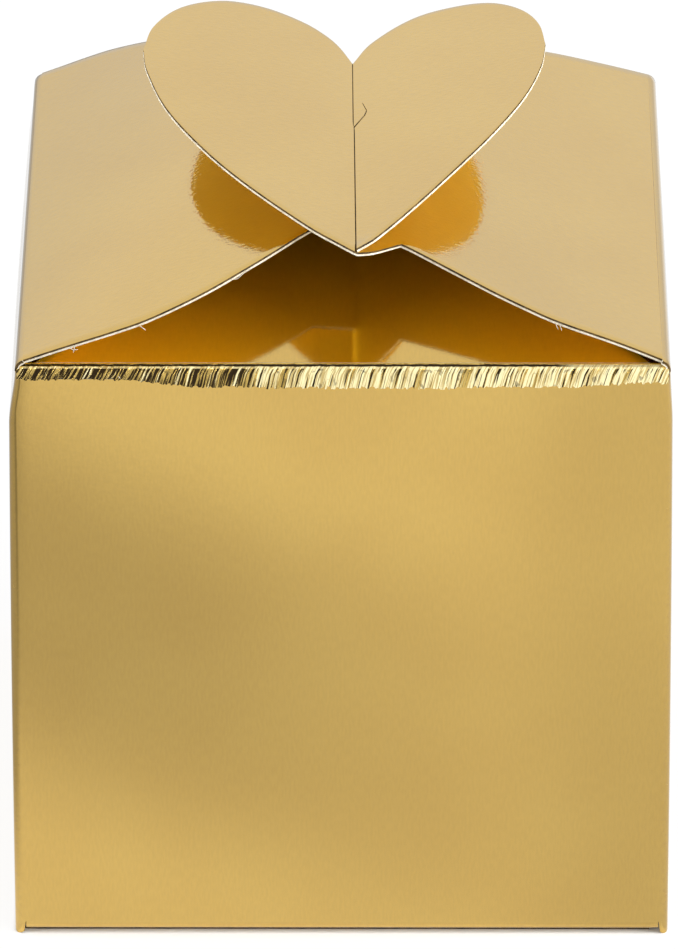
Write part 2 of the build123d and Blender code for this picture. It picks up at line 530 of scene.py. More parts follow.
class FoilGrain(SharedEffect):
    """The grain that shows through the foil: paper fibres, drawn out along the sheet, and soft clouding."""

    NAME = "foil_grain"
    INPUTS = {"Vector": "Vector", "Gloss": "Float", "Bristle": "Float"}
    OUTPUTS = {"Tint": "Color", "Roughness": "Float", "Height": "Float"}
    FIBRE_DRAW = (1.0, 0.22, 1.0)
    FIBRE_SCALE = 4200.0
    PEEL_SCALE = 900.0
    BRISTLE_SCALE = 2600.0
    CLOUD_SCALE = 45.0
    SOFT_RANGE = (0.3, 0.7)
    FLECK_RANGE = (0.70, 0.80)
    CLEAR = (1.0, 1.0, 1.0, 1.0)
    FIBRE_TINT = (0.955, 0.95, 0.94, 1.0)
    CLOUD_TINT = (0.95, 0.93, 0.9, 1.0)
    FIBRE_HEIGHT = 0.5
    CLOUD_ROUGH = 0.06
    FLECK_ROUGH = 0.15

    @classmethod
    def pattern(cls, nodes: Nodes, entry: Sockets) -> Dict[str, Socket]:
        """Draws the grain.

        Args:
            nodes: The group's nodes.
            entry: The group's inputs.

        Returns:
            The grain's tint, roughness and height.
        """
        where = entry["Vector"]
        fibres = nodes.noise(nodes.stretch(where, cls.FIBRE_DRAW), cls.FIBRE_SCALE, 3.0)
        peel = nodes.noise(where, cls.PEEL_SCALE)
        bristle = nodes.noise(where, cls.BRISTLE_SCALE, 0.0)
        cloud = nodes.noise(where, cls.CLOUD_SCALE)
        flecks = nodes.ranged(nodes.noise(where, cls.BRISTLE_SCALE, 1.0), *cls.FLECK_RANGE)
        tint = nodes.blend(nodes.ranged(fibres, *cls.SOFT_RANGE), cls.FIBRE_TINT, cls.CLEAR)
        rough = nodes.plus(entry["Gloss"], nodes.times(cloud, cls.CLOUD_ROUGH))
        height = nodes.plus(nodes.times(fibres, cls.FIBRE_HEIGHT), peel)
        return {
            "Tint": nodes.blend(nodes.ranged(cloud, *cls.SOFT_RANGE), tint, cls.CLOUD_TINT, "MULTIPLY"),
            "Roughness": nodes.plus(rough, nodes.times(flecks, cls.FLECK_ROUGH)),
            "Height": nodes.plus(height, nodes.times(bristle, entry["Bristle"])),
        }


class BoardFibre(SharedEffect):
    """The torn fibres of the pale board, for cut edges and the lips beside them."""

    NAME = "board_fibre"
    INPUTS = {"Vector": "Vector"}
    OUTPUTS = {"Shade": "Float", "Height": "Float"}
    FINE_SCALE = 5200.0
    COARSE_SCALE = 700.0
    SHADE_RANGE = (0.7, 1.25)

    @classmethod
    def pattern(cls, nodes: Nodes, entry: Sockets) -> Dict[str, Socket]:
        """Draws the fibres.

        Args:
            nodes: The group's nodes.
            entry: The group's inputs.

        Returns:
            The fibres' shade and height.
        """
        fine = nodes.noise(entry["Vector"], cls.FINE_SCALE, 3.0)
        coarse = nodes.noise(entry["Vector"], cls.COARSE_SCALE)
        return {"Shade": nodes.ranged(nodes.plus(fine, coarse), *cls.SHADE_RANGE), "Height": fine}


def new_material(name: str) -> Tuple[bpy.types.Material, Nodes, bpy.types.Node]:
    """An empty material with its shader.

    Args:
        name: The finish's name.

    Returns:
        The material, its nodes and its Principled shader.
    """
    material = bpy.data.materials.new(name)
    material.use_nodes = True
    return material, Nodes(material.node_tree), material.node_tree.nodes["Principled BSDF"]


def add_bump(nodes: Nodes, shader: bpy.types.Node, height: Socket, depth: float) -> None:
    """Gives a shader a bump.

    Args:
        nodes: The material's nodes.
        shader: The shader.
        height: The pattern.
        depth: The bump's depth in metres.
    """
    bump = nodes.add("ShaderNodeBump")
    nodes.fill(bump, {"Strength": 1.0, "Distance": depth, "Height": height})
    nodes.feed(bump.outputs["Normal"], shader.inputs["Normal"])


@dataclass(frozen=True)
class FoilFinish:
    """Bright gold foil under a clear lacquer, worn to specks where it bends."""

    name: str = "gold_foil"
    gold: Colour = (0.67, 0.44, 0.10, 1.0)
    cracked: Colour = (0.58, 0.36, 0.09, 1.0)
    gloss: float = 0.07
    bristle: float = 0.5
    grain_depth: float = 0.0035 * MM
    lacquer: float = 1.0
    lacquer_rough: float = 0.06
    speck_draw: Spot = (1.0, 0.5, 1.0)
    speck_scale: float = 3400.0
    speck_range: Plan = (0.48, 0.62)
    worn_rough: float = 0.25
    worn_height: float = 4.0

    def build(self) -> bpy.types.Material:
        """Makes the material.

        Returns:
            The material.
        """
        material, nodes, shader = new_material(self.name)
        sheet = nodes.sheet()
        grain = FoilGrain.place(nodes, {"Vector": sheet, "Gloss": self.gloss, "Bristle": self.bristle})
        bend = nodes.add("ShaderNodeAttribute", attribute_name=BEND_MARK).outputs["Fac"]
        specks = nodes.noise(nodes.stretch(sheet, self.speck_draw), self.speck_scale, 3.0)
        worn = nodes.math("MULTIPLY", nodes.ranged(specks, *self.speck_range), bend, clamp=True)
        gold = nodes.blend(1.0, self.gold, grain["Tint"], "MULTIPLY")
        values = {
            "Base Color": nodes.blend(worn, gold, self.cracked),
            "Roughness": nodes.plus(grain["Roughness"], nodes.times(worn, self.worn_rough)),
            "Metallic": 1.0,
            "Coat Weight": self.lacquer,
            "Coat Roughness": self.lacquer_rough,
        }
        nodes.fill(shader, values)
        height = nodes.plus(grain["Height"], nodes.times(worn, self.worn_height))
        add_bump(nodes, shader, height, self.grain_depth)
        return material


@dataclass(frozen=True)
class LiningFinish:
    """The inside of the board: gold with a satin, half metallic shine, painted deeper and brighter than the
    outer foil to stand in for the light that bounces between the gold faces inside the box.
    """

    name: str = "gold_lining"
    # painted bounce light: a deeper, brighter gold than the outer foil's, for the light that bounces between
    # the gold faces inside the box
    gold: Colour = (0.97, 0.72, 0.045, 1.0)
    gloss: float = 0.42
    bristle: float = 0.5
    metal: float = 0.5
    shine: float = 0.15
    grain_depth: float = 0.003 * MM

    def build(self) -> bpy.types.Material:
        """Makes the material.

        Returns:
            The material.
        """
        material, nodes, shader = new_material(self.name)
        values = {"Vector": nodes.sheet(), "Gloss": self.gloss, "Bristle": self.bristle}
        grain = FoilGrain.place(nodes, values)
        values = {
            "Base Color": nodes.blend(1.0, self.gold, grain["Tint"], "MULTIPLY"),
            "Roughness": grain["Roughness"],
            "Metallic": self.metal,
            "Specular IOR Level": self.shine,
        }
        nodes.fill(shader, values)
        add_bump(nodes, shader, grain["Height"], self.grain_depth)
        return material


@dataclass(frozen=True)
class CrackedFoilFinish:
    """Foil crushed along the top fold, split into slanting flakes down to the pale board.

    The flakes end at a dark crease line, behind which the foil is whole. They are dull on the left and
    bright on the right.
    """

    name: str = "cracked_foil"
    gold: Colour = (0.66, 0.46, 0.13, 1.0)
    flake: Colour = (0.84, 0.75, 0.43, 1.0)
    groove: Colour = (0.022, 0.013, 0.004, 1.0)
    brown: Colour = (0.42, 0.28, 0.07, 1.0)
    slant: float = 0.36
    draw: float = 0.05
    fine_scale: float = 4300.0
    coarse_scale: float = 900.0
    hatch_scale: float = 6400.0
    blot_scale: float = 1100.0
    coarse_share: float = 0.55
    fine_share: float = 0.45
    right_from: float = -16.0 * MM
    right_to: float = 1.28 * MM
    bare_range: Plan = (0.49, 0.55)
    bare_shift: Plan = (-0.05, 0.06)
    groove_range: Plan = (0.44, 0.49)
    groove_shift: Plan = (0.055, -0.045)
    hatching: Ramp = (0.49, 0.57, 0.0, 0.75)
    blot_range: Plan = (0.60, 0.68)
    blotting: float = 0.55
    line_at: float = 2.25 * MM
    line_half: float = 0.26 * MM
    line_core: float = 0.6
    line_wobble: float = 0.3 * MM
    line_fade: Ramp = (20.48 * MM, 23.04 * MM, 1.0, 0.35)
    edge_reach: Plan = (1.8, 2.4)
    edge_bare: float = 0.8
    edge_clean: float = 0.7
    bare_dull: float = 0.75
    gloss: float = 0.2
    bare_rough: float = 0.25
    shine: float = 0.08
    depth: float = 0.05 * MM

    def build(self) -> bpy.types.Material:
        """Makes the material.

        Returns:
            The material.
        """
        material, nodes, shader = new_material(self.name)
        sheet = nodes.sheet()
        along, up, _ = nodes.parts(sheet)
        slanted = nodes.minus(along, nodes.times(up, self.slant))
        across = nodes.pour(nodes.add("ShaderNodeCombineXYZ"), slanted, nodes.times(up, self.draw))
        fine = nodes.noise(across, self.fine_scale, 3.0)
        coarse = nodes.noise(across, self.coarse_scale, 1.5)
        blots = nodes.noise(sheet, self.blot_scale)
        beyond = nodes.minus(up, self.line_at)
        before = nodes.ranged(beyond, 0.0, self.line_half, 1.0, 0.0)
        off = nodes.math("ABSOLUTE", beyond)
        near, far = self.edge_reach
        pale = nodes.ranged(off, self.line_half * near, self.line_half * far, 1.0, 0.0)
        right = nodes.ranged(along, self.right_from, self.right_to)

        mixed = nodes.plus(nodes.times(coarse, self.coarse_share), nodes.times(fine, self.fine_share))
        mixed = nodes.plus(mixed, nodes.ranged(right, 0.0, 1.0, *self.bare_shift))
        bare = nodes.most(nodes.ranged(mixed, *self.bare_range), nodes.times(pale, self.edge_bare))
        bare = nodes.times(bare, before)

        limit = nodes.ranged(right, 0.0, 1.0, *self.groove_shift)
        lines = nodes.ranged(nodes.minus(fine, limit), *self.groove_range, 1.0, 0.0)
        lines = nodes.most(lines, nodes.times(nodes.ranged(blots, *self.blot_range), self.blotting))
        lines = nodes.times(lines, nodes.rest(nodes.times(pale, self.edge_clean)))
        lines = nodes.times(lines, before)
        wavy = nodes.plus(off, nodes.times(nodes.minus(blots, 0.5), self.line_wobble))
        crease = nodes.ranged(wavy, self.line_half * self.line_core, self.line_half, 1.0, 0.0)
        crease = nodes.times(crease, nodes.ranged(along, *self.line_fade))
        lines = nodes.math("MAXIMUM", lines, crease, clamp=True)

        hatch = nodes.ranged(nodes.noise(across, self.hatch_scale), *self.hatching)
        colour = nodes.blend(bare, self.gold, nodes.blend(hatch, self.flake, self.brown))
        metal = nodes.rest(nodes.times(bare, self.bare_dull))
        values = {
            "Base Color": nodes.blend(lines, colour, self.groove),
            "Metallic": nodes.times(metal, nodes.rest(lines)),
            "Roughness": nodes.plus(self.gloss, nodes.times(bare, self.bare_rough)),
            "Specular IOR Level": self.shine,
        }
        nodes.fill(shader, values)
        add_bump(nodes, shader, nodes.minus(fine, lines), self.depth)
        return material


@dataclass(frozen=True)
class CoreFinish:
    """The cream fibre core of the board, bare at a cut edge."""

    name: str = "board_core"
    pale: Colour = (0.66, 0.61, 0.50, 1.0)
    shaded: Colour = (0.46, 0.40, 0.29, 1.0)
    rough: float = 0.85
    depth: float = 0.03 * MM

    def build(self) -> bpy.types.Material:
        """Makes the material.

        Returns:
            The material.
        """
        material, nodes, shader = new_material(self.name)
        fibre = BoardFibre.place(nodes, {"Vector": nodes.where()})
        colour = nodes.blend(fibre["Shade"], self.shaded, self.pale)
        nodes.fill(shader, {"Base Color": colour, "Roughness": self.rough})
        add_bump(nodes, shader, fibre["Height"], self.depth)
        return material


@dataclass(frozen=True)
class LipFinish:
    """The lip of foil that the die pressed down beside a cut edge, dull and dark."""

    name: str = "foil_lip"
    dark: Colour = (0.016, 0.010, 0.004, 1.0)
    bright: Colour = (0.20, 0.12, 0.035, 1.0)
    brightest: float = 0.5
    rough: float = 0.7
    shine: float = 0.1

    def build(self) -> bpy.types.Material:
        """Makes the material.

        Returns:
            The material.
        """
        material, nodes, shader = new_material(self.name)
        fibre = BoardFibre.place(nodes, {"Vector": nodes.where()})
        colour = nodes.blend(nodes.times(fibre["Shade"], self.brightest), self.dark, self.bright)
        values = {"Base Color": colour, "Roughness": self.rough, "Specular IOR Level": self.shine}
        nodes.fill(shader, values)
        return material


@dataclass(frozen=True)
class GlueFinish:
    """Dried white glue between the seam tab and the back wall."""

    name: str = "dried_glue"
    milky: Colour = (0.80, 0.76, 0.66, 1.0)
    amber: Colour = (0.62, 0.53, 0.36, 1.0)
    cloud_scale: float = 320.0
    cloud_range: Plan = (0.35, 0.7)
    rough: Plan = (0.25, 0.5)
    depth: float = 0.05 * MM

    def build(self) -> bpy.types.Material:
        """Makes the material.

        Returns:
            The material.
        """
        material, nodes, shader = new_material(self.name)
        cloud = nodes.ranged(nodes.noise(nodes.where(), self.cloud_scale, 3.0), *self.cloud_range)
        rough = nodes.ranged(cloud, 0.0, 1.0, *self.rough)
        nodes.fill(shader, {"Base Color": nodes.blend(cloud, self.milky, self.amber), "Roughness": rough})
        add_bump(nodes, shader, cloud, self.depth)
        return material


@dataclass
class Finishes:
    """The materials of the sheet and its glue, each made once."""

    foil: bpy.types.Material = field(default_factory=FoilFinish().build)
    roof: bpy.types.Material = field(default_factory=FoilFinish("gold_roof_foil", bristle=3.6).build)
    lining: bpy.types.Material = field(default_factory=LiningFinish().build)
    core: bpy.types.Material = field(default_factory=CoreFinish().build)
    lip: bpy.types.Material = field(default_factory=LipFinish().build)
    cracked: bpy.types.Material = field(default_factory=CrackedFoilFinish().build)
    glue: bpy.types.Material = field(default_factory=GlueFinish().build)


def make_object(name: str, mesh: bmesh.types.BMesh) -> bpy.types.Object:
    """Turns a mesh under work into an object of the scene, and frees it.

    Args:
        name: The object's name.
        mesh: The mesh.

    Returns:
        The object.
    """
    data = bpy.data.meshes.new(name)
    mesh.to_mesh(data)
    mesh.free()
    thing = bpy.data.objects.new(name, data)
    bpy.context.scene.collection.objects.link(thing)
    return thing


class SheetMesh:
    """One stretch of the die-cut sheet, laid out as grids and then given the board's thickness."""

    WELD = 0.002 * MM
    LIP = 0.2 * MM
    MOST_LIP = 0.6
    LEAST_EDGE = 1e-9
    ROUNDING = 0.05 * MM
    SMOOTH_ANGLE = radians(32)
    OUTER_SLOT = 0
    LINING_SLOT = 1
    RIM_SLOT = 2
    LIP_SLOT = 3

    def __init__(self, name: str) -> None:
        """Starts an empty sheet.

        Args:
            name: The piece's name.
        """
        self.name = name
        self.mesh = bmesh.new()
        self.flat = self.mesh.loops.layers.uv.new(SHEET_MAP)
        self.bend = self.mesh.verts.layers.float.new(BEND_MARK)
        self.joint = self.mesh.verts.layers.float.new(JOINT_MARK)

    def lay(
        self,
        columns: Sequence[float],
        rows: Sequence[float],
        place: Place,
        turned: bool = False,
        bend: Optional[Callable[[float, float], float]] = None,
        joint: Optional[Callable[[float, float], bool]] = None,
        slot: Optional[Callable[[float, float], int]] = None,
    ) -> None:
        """Lays a grid over the sheet's flat coordinates and bends it to its place.

        Args:
            columns: The grid's stops one way, in flat coordinates.
            rows: The grid's stops the other way.
            place: Gives the place of a flat point on the finished box.
            turned: Whether the faces need turning to point outwards.
            bend: Gives how much a flat point lies in a bend, where any does.
            joint: Tells where the sheet goes on in the next piece, so that no cut edge shows.
            slot: Gives the material slot of the face round a flat point, where any isn't the outer face's.
        """
        made = bmesh.ops.create_grid(
            self.mesh, x_segments=len(columns) - 1, y_segments=len(rows) - 1, size=0.5
        )["verts"]
        spots = {}
        for vert in made:
            i = round((vert.co.x + 0.5) * (len(columns) - 1))
            j = round((vert.co.y + 0.5) * (len(rows) - 1))
            spots[vert] = (columns[i], rows[j])
        faces = list({face for vert in made for face in vert.link_faces})
        for face in faces:
            for loop in face.loops:
                loop[self.flat].uv = spots[loop.vert]
            if slot:
                centre = [spots[vert] for vert in face.verts]
                face.material_index = slot(*(sum(side) / len(centre) for side in zip(*centre)))
        for vert, spot in spots.items():
            vert.co = place(*spot)
            if bend:
                vert[self.bend] = bend(*spot)
            if joint and joint(*spot):
                vert[self.joint] = 1.0
        if turned:
            bmesh.ops.reverse_faces(self.mesh, faces=faces)

    def flatten(self, flat: Callable[[Vector, Vector], Plan]) -> None:
        """Works out the flat coordinates again from where the sheet lies.

        Args:
            flat: Gives the flat coordinates from a point's place and its first ones.
        """
        for face in self.mesh.faces:
            for loop in face.loops:
                loop[self.flat].uv = flat(loop.vert.co, loop[self.flat].uv)

    def piece(self, outer: bpy.types.Material, finishes: Finishes) -> bpy.types.Object:
        """Gives the sheet its thickness and its cut edges.

        Args:
            outer: The finish of the outer face.
            finishes: The finishes of the sheet.

        Returns:
            The piece, with its modifiers applied.
        """
        bmesh.ops.remove_doubles(self.mesh, verts=self.mesh.verts[:], dist=self.WELD)
        thing = make_object(self.name, self.mesh)
        data = thing.data
        for material in (outer, finishes.lining, finishes.core, finishes.lip):
            data.materials.append(material)
        solid = thing.modifiers.new("board", "SOLIDIFY")
        solid.thickness = SIZES.board
        solid.offset = -1.0
        solid.use_quality_normals = True
        solid.material_offset = self.LINING_SLOT
        solid.material_offset_rim = self.RIM_SLOT
        graph = bpy.context.evaluated_depsgraph_get()
        done = bpy.data.meshes.new_from_object(
            thing.evaluated_get(graph), preserve_all_data_layers=True, depsgraph=graph
        )
        thing.modifiers.clear()
        thing.data = done
        done.name = self.name
        bpy.data.meshes.remove(data)
        self.press_lips(done)
        done.shade_smooth()
        done.set_sharp_from_angle(angle=self.SMOOTH_ANGLE)
        return thing

    def press_lips(self, done: bpy.types.Mesh) -> None:
        """Rounds the outside of the cut edges to a lip of crushed foil, but not where the sheet goes on.

        Args:
            done: The sheet's mesh with its thickness.
        """
        mesh = bmesh.new()
        mesh.from_mesh(done)
        joint = mesh.verts.layers.float[JOINT_MARK]
        edges = []
        for edge in mesh.edges:
            slots = {face.material_index for face in edge.link_faces}
            goes_on = all(vert[joint] > 0.5 for vert in edge.verts)
            if slots == {self.OUTER_SLOT, self.RIM_SLOT} and not goes_on:
                edges.append(edge)
        made = bmesh.ops.bevel(
            mesh, geom=edges, offset=self.ROUNDING, offset_type="OFFSET", segments=2, profile=0.5,
            affect="EDGES", material=-1, clamp_overlap=True,
        )
        for face in made["faces"]:
            face.material_index = self.LIP_SLOT
        self.line_rims(mesh)
        mesh.to_mesh(done)
        mesh.free()

    def line_rims(self, mesh: bmesh.types.BMesh) -> None:
        """Splits the cut edges lengthwise, so that the crushed foil reaches a little way down them.

        Args:
            mesh: The sheet's mesh, with its lips rounded.
        """

        def corners(slot: int) -> Set[bmesh.types.BMVert]:
            """The corners of the faces in a material slot."""
            return {vert for face in mesh.faces if face.material_index == slot for vert in face.verts}

        rims = [face for face in mesh.faces if face.material_index == self.RIM_SLOT]
        lined, edged = corners(self.LINING_SLOT), corners(self.LIP_SLOT)
        cut = (self.RIM_SLOT, self.LIP_SLOT)
        split = set()
        for edge in dict.fromkeys(edge for face in rims for edge in face.edges):
            tops = [vert for vert in edge.verts if vert not in lined and vert in edged]
            if len(tops) == 1 and all(near.material_index in cut for near in edge.link_faces):
                share = min(self.MOST_LIP, self.LIP / max(edge.calc_length(), self.LEAST_EDGE))
                split.add(bmesh.utils.edge_split(edge, tops[0], share)[1])
        for face in rims:
            pair = [vert for vert in face.verts if vert in split]
            if len(pair) == 2:
                halves = (face, bmesh.utils.face_split(face, *pair)[0])
                for half in halves:
                    near = {other.material_index for edge in half.edges for other in edge.link_faces}
                    if self.LIP_SLOT in near and self.LINING_SLOT not in near:
                        half.material_index = self.LIP_SLOT


def fit(thing: bpy.types.Object, body: str, nodes: Sequence[str]) -> bpy.types.Object:
    """Makes a piece ride on a body and stand for its CAD nodes.

    Args:
        thing: The piece.
        body: The body's name.
        nodes: The CAD nodes that it stands for.

    Returns:
        The piece.
    """
    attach(thing, body)
    return dress(thing, nodes)


def dress(thing: bpy.types.Object, nodes: Sequence[str]) -> bpy.types.Object:
    """Hides the CAD nodes that a piece stands for, and logs its face count.

    Args:
        thing: The piece.
        nodes: The CAD nodes, if any.

    Returns:
        The piece.
    """
    if nodes:
        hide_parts(*nodes)
    LOG.info("%s: %d faces", thing.name, len(thing.data.polygons))
    return thing


class Station(NamedTuple):
    """A stop along the wrapped walls.

    It has a place and an outward direction in plan, a share of its wall's width, the wall's bulge, and the
    sheet's lowest and highest z there.
    """

    x: float
    y: float
    out: Plan
    share: float
    bulge: float
    low: float
    top: float


@dataclass
class WallTube:
    """The four walls, wrapped round from the glued tab, with rounded upright folds.

    The side walls stand out past the folds, most of all at the foot, and draw in to the roof at the top.
    """

    finishes: Finishes
    corner_depth: float = 0.85 * MM
    flat_left: float = 31.66 * MM
    flat_right: float = 31.42 * MM
    least_corner: float = 0.62 * MM
    foot_round: float = 0.6 * MM
    waist: float = 57.0 * MM
    side_bulge: float = 0.45 * MM
    end_bulge: float = 0.32 * MM
    least_step: float = 0.01 * MM
    wear: float = 0.9
    tall: float = 0.955
    nodes: Tuple[str, ...] = (
        "front_wall", "back_wall", "left_wall", "right_wall", "front_left_corner",
        "front_right_corner", "back_right_corner", "seam_corner", "seam_tab",
    )

    TURN_STEPS = 10
    TAB_STEPS = 8
    SIDE_STEPS = 44
    END_STEPS = 52
    LOW_ROWS = 38
    HIGH_ROWS = 14

    def drawn(self, x: float, z: float) -> float:
        """Draws a place of a wall or a corner out to the side wall's reach at its height.

        Args:
            x: The place's x on a straight box.
            z: Its height.

        Returns:
            Its x on the bulging box.
        """
        side = Side.LEFT if x < 0 else Side.RIGHT
        flat = self.flat_left if side is Side.LEFT else self.flat_right
        reach = self.reach(side, z)
        inner = min(flat, reach - self.least_corner)
        if abs(x) <= flat:
            return x * inner / flat
        return side.value * (inner + (abs(x) - flat) * (reach - inner) / (SIZES.half_width - flat))

    def reach(self, side: Side, z: float) -> float:
        """How far out a side wall stands at a height.

        Args:
            side: The wall's side.
            z: The height.

        Returns:
            The wall's distance from the middle of the box.
        """
        foot, top = SWELL[side]
        share = min(1.0, z / self.waist)
        out = SIZES.half_width + foot + (top - foot) * share**2
        return out + (SIZES.fold_x - out) * ease(z, self.waist, SIZES.roof_fold - SIZES.start)

    def stations(self) -> List[Station]:
        """The stops along the sheet, from the tab round to the end of the back wall.

        Returns:
            The stops.
        """
        w, d, r = SIZES.half_width, SIZES.half_depth, self.corner_depth
        left, right, seam = self.flat_left, self.flat_right, SIZES.seam_y
        corner_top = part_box("front_left_corner")[1][2]
        side_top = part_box("left_wall")[1][2]
        left_heights = (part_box("left_wall")[0][2], side_top)
        right_heights = (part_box("right_wall")[0][2], side_top)
        end_heights = (SIZES.bottom_fold + SIZES.start, SIZES.dust_fold - ROLL_DROP)
        tab_low, tab_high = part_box("seam_tab")
        found = []

        def wall(start: Plan, finish: Plan, out: Plan, bulge: float, heights: Plan, count: int) -> None:
            """Adds the stops of a flat wall."""
            for i in range(count + 1):
                share = i / count
                x = start[0] + (finish[0] - start[0]) * share
                y = start[1] + (finish[1] - start[1]) * share
                found.append(Station(x, y, out, share, bulge, *heights))

        def turn(middle: Plan, first: float) -> None:
            """Adds the stops round an upright fold, its foot rounded off."""
            for i in range(1, self.TURN_STEPS):
                angle = radians(first + 90 / self.TURN_STEPS * i)
                out = (cos(angle), sin(angle))
                x = middle[0] + (w - abs(middle[0])) * out[0]
                lowest = self.foot_round * round(1 - sin(pi * i / self.TURN_STEPS) ** 0.5, 3)
                found.append(Station(x, middle[1] + r * out[1], out, 0.0, 0.0, lowest, corner_top))

        wall((tab_high[0], seam), (-left, seam), (0, 1), 0.0, (tab_low[2], tab_high[2]), self.TAB_STEPS)
        turn((-left, seam - r), 90)
        wall((-w, seam - r), (-w, -d + r), (-1, 0), self.side_bulge, left_heights, self.SIDE_STEPS)
        turn((-left, -d + r), 180)
        wall((-left, -d), (right, -d), (0, -1), self.end_bulge, end_heights, self.END_STEPS)
        turn((right, -d + r), 270)
        wall((w, -d + r), (w, d - r), (1, 0), self.side_bulge, right_heights, self.SIDE_STEPS)
        turn((right, d - r), 0)
        back_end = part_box("back_wall")[0][0]
        wall((right, d), (back_end, d), (0, 1), self.end_bulge, end_heights, self.END_STEPS)
        return found

    def build(self) -> bpy.types.Object:
        """Builds the walls.

        Returns:
            The piece.
        """
        stops = self.stations()
        columns, run = [0.0], 0.0
        for a, b in zip(stops, stops[1:]):
            run += max(hypot(b.x - a.x, b.y - a.y), self.least_step)
            columns.append(run)
        at = dict(zip(columns, stops))
        highest = SIZES.roof_fold - SIZES.start
        rows = spread(0.0, self.waist, self.LOW_ROWS) + spread(self.waist, highest, self.HIGH_ROWS)[1:]
        rows = sorted(set(rows) | {limit for stop in stops for limit in (stop.low, stop.top)})

        def place(u: float, v: float) -> Vector:
            """The place of a flat point on the walls."""
            stop = at[u]
            z = min(max(v, stop.low), stop.top)
            swell = stop.bulge * sin(pi * stop.share) * sin(pi * (z - stop.low) / (stop.top - stop.low))
            return Vector((self.drawn(stop.x, z) + stop.out[0] * swell, stop.y + stop.out[1] * swell, z))

        def bend(u: float, v: float) -> float:
            """How much the foil is worn: most in the middle of an upright fold."""
            return self.wear * abs(at[u].out[0] * at[u].out[1])

        def joint(u: float, v: float) -> bool:
            """Whether the sheet goes on there, over the top of a wall or under its foot."""
            stop = at[u]
            on_wall = stop.out[0] * stop.out[1] == 0 and stop.top > SIZES.roof_fold * self.tall
            return on_wall and (v >= stop.top or (v <= stop.low and stop.low > SIZES.board))

        sheet = SheetMesh("wall_tube")
        sheet.lay(columns, rows, place, bend=bend, joint=joint)
        thing = sheet.piece(self.finishes.foil, self.finishes)
        return fit(thing, "box", self.nodes)


@dataclass
class Fold:
    """A strip of the sheet that bends over a crease, between the box and a flap."""

    name: str
    axis: str
    first: Plan
    corner: Plan
    last: Plan
    low: float
    high: float
    body: str
    node: str
    finishes: Finishes
    turned: bool = False
    wear: float = 0.25

    ROWS = 9
    COLUMNS = 60

    def spot(self, along: float, point: Plan) -> Vector:
        """A point of the cross section, at a place along the fold.

        Args:
            along: The place along the fold.
            point: The point in the cross section.

        Returns:
            The place on the box.
        """
        if self.axis == "X":
            return Vector((along, point[0], point[1]))
        return Vector((point[0], along, point[1]))

    def build(self) -> bpy.types.Object:
        """Builds the strip and blends it across its hinge.

        Returns:
            The piece.
        """
        length = hypot(self.last[0] - self.first[0], self.last[1] - self.first[1])
        across = spread(0.0, length, self.ROWS)

        def place(u: float, v: float) -> Vector:
            """The place of a flat point in the bend."""
            return self.spot(u, bend_point(self.first, self.corner, self.last, v / length))

        sheet = SheetMesh(self.name)
        sheet.lay(
            spread(self.low, self.high, self.COLUMNS), across, place, self.turned,
            lambda u, v: self.wear * sin(pi * v / length), lambda u, v: v in (across[0], across[-1]),
        )
        thing = sheet.piece(self.finishes.foil, self.finishes)
        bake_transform(thing, "box", self.body, start=self.spot(0, self.first), end=self.spot(0, self.last))
        return dress(thing, (self.node,))


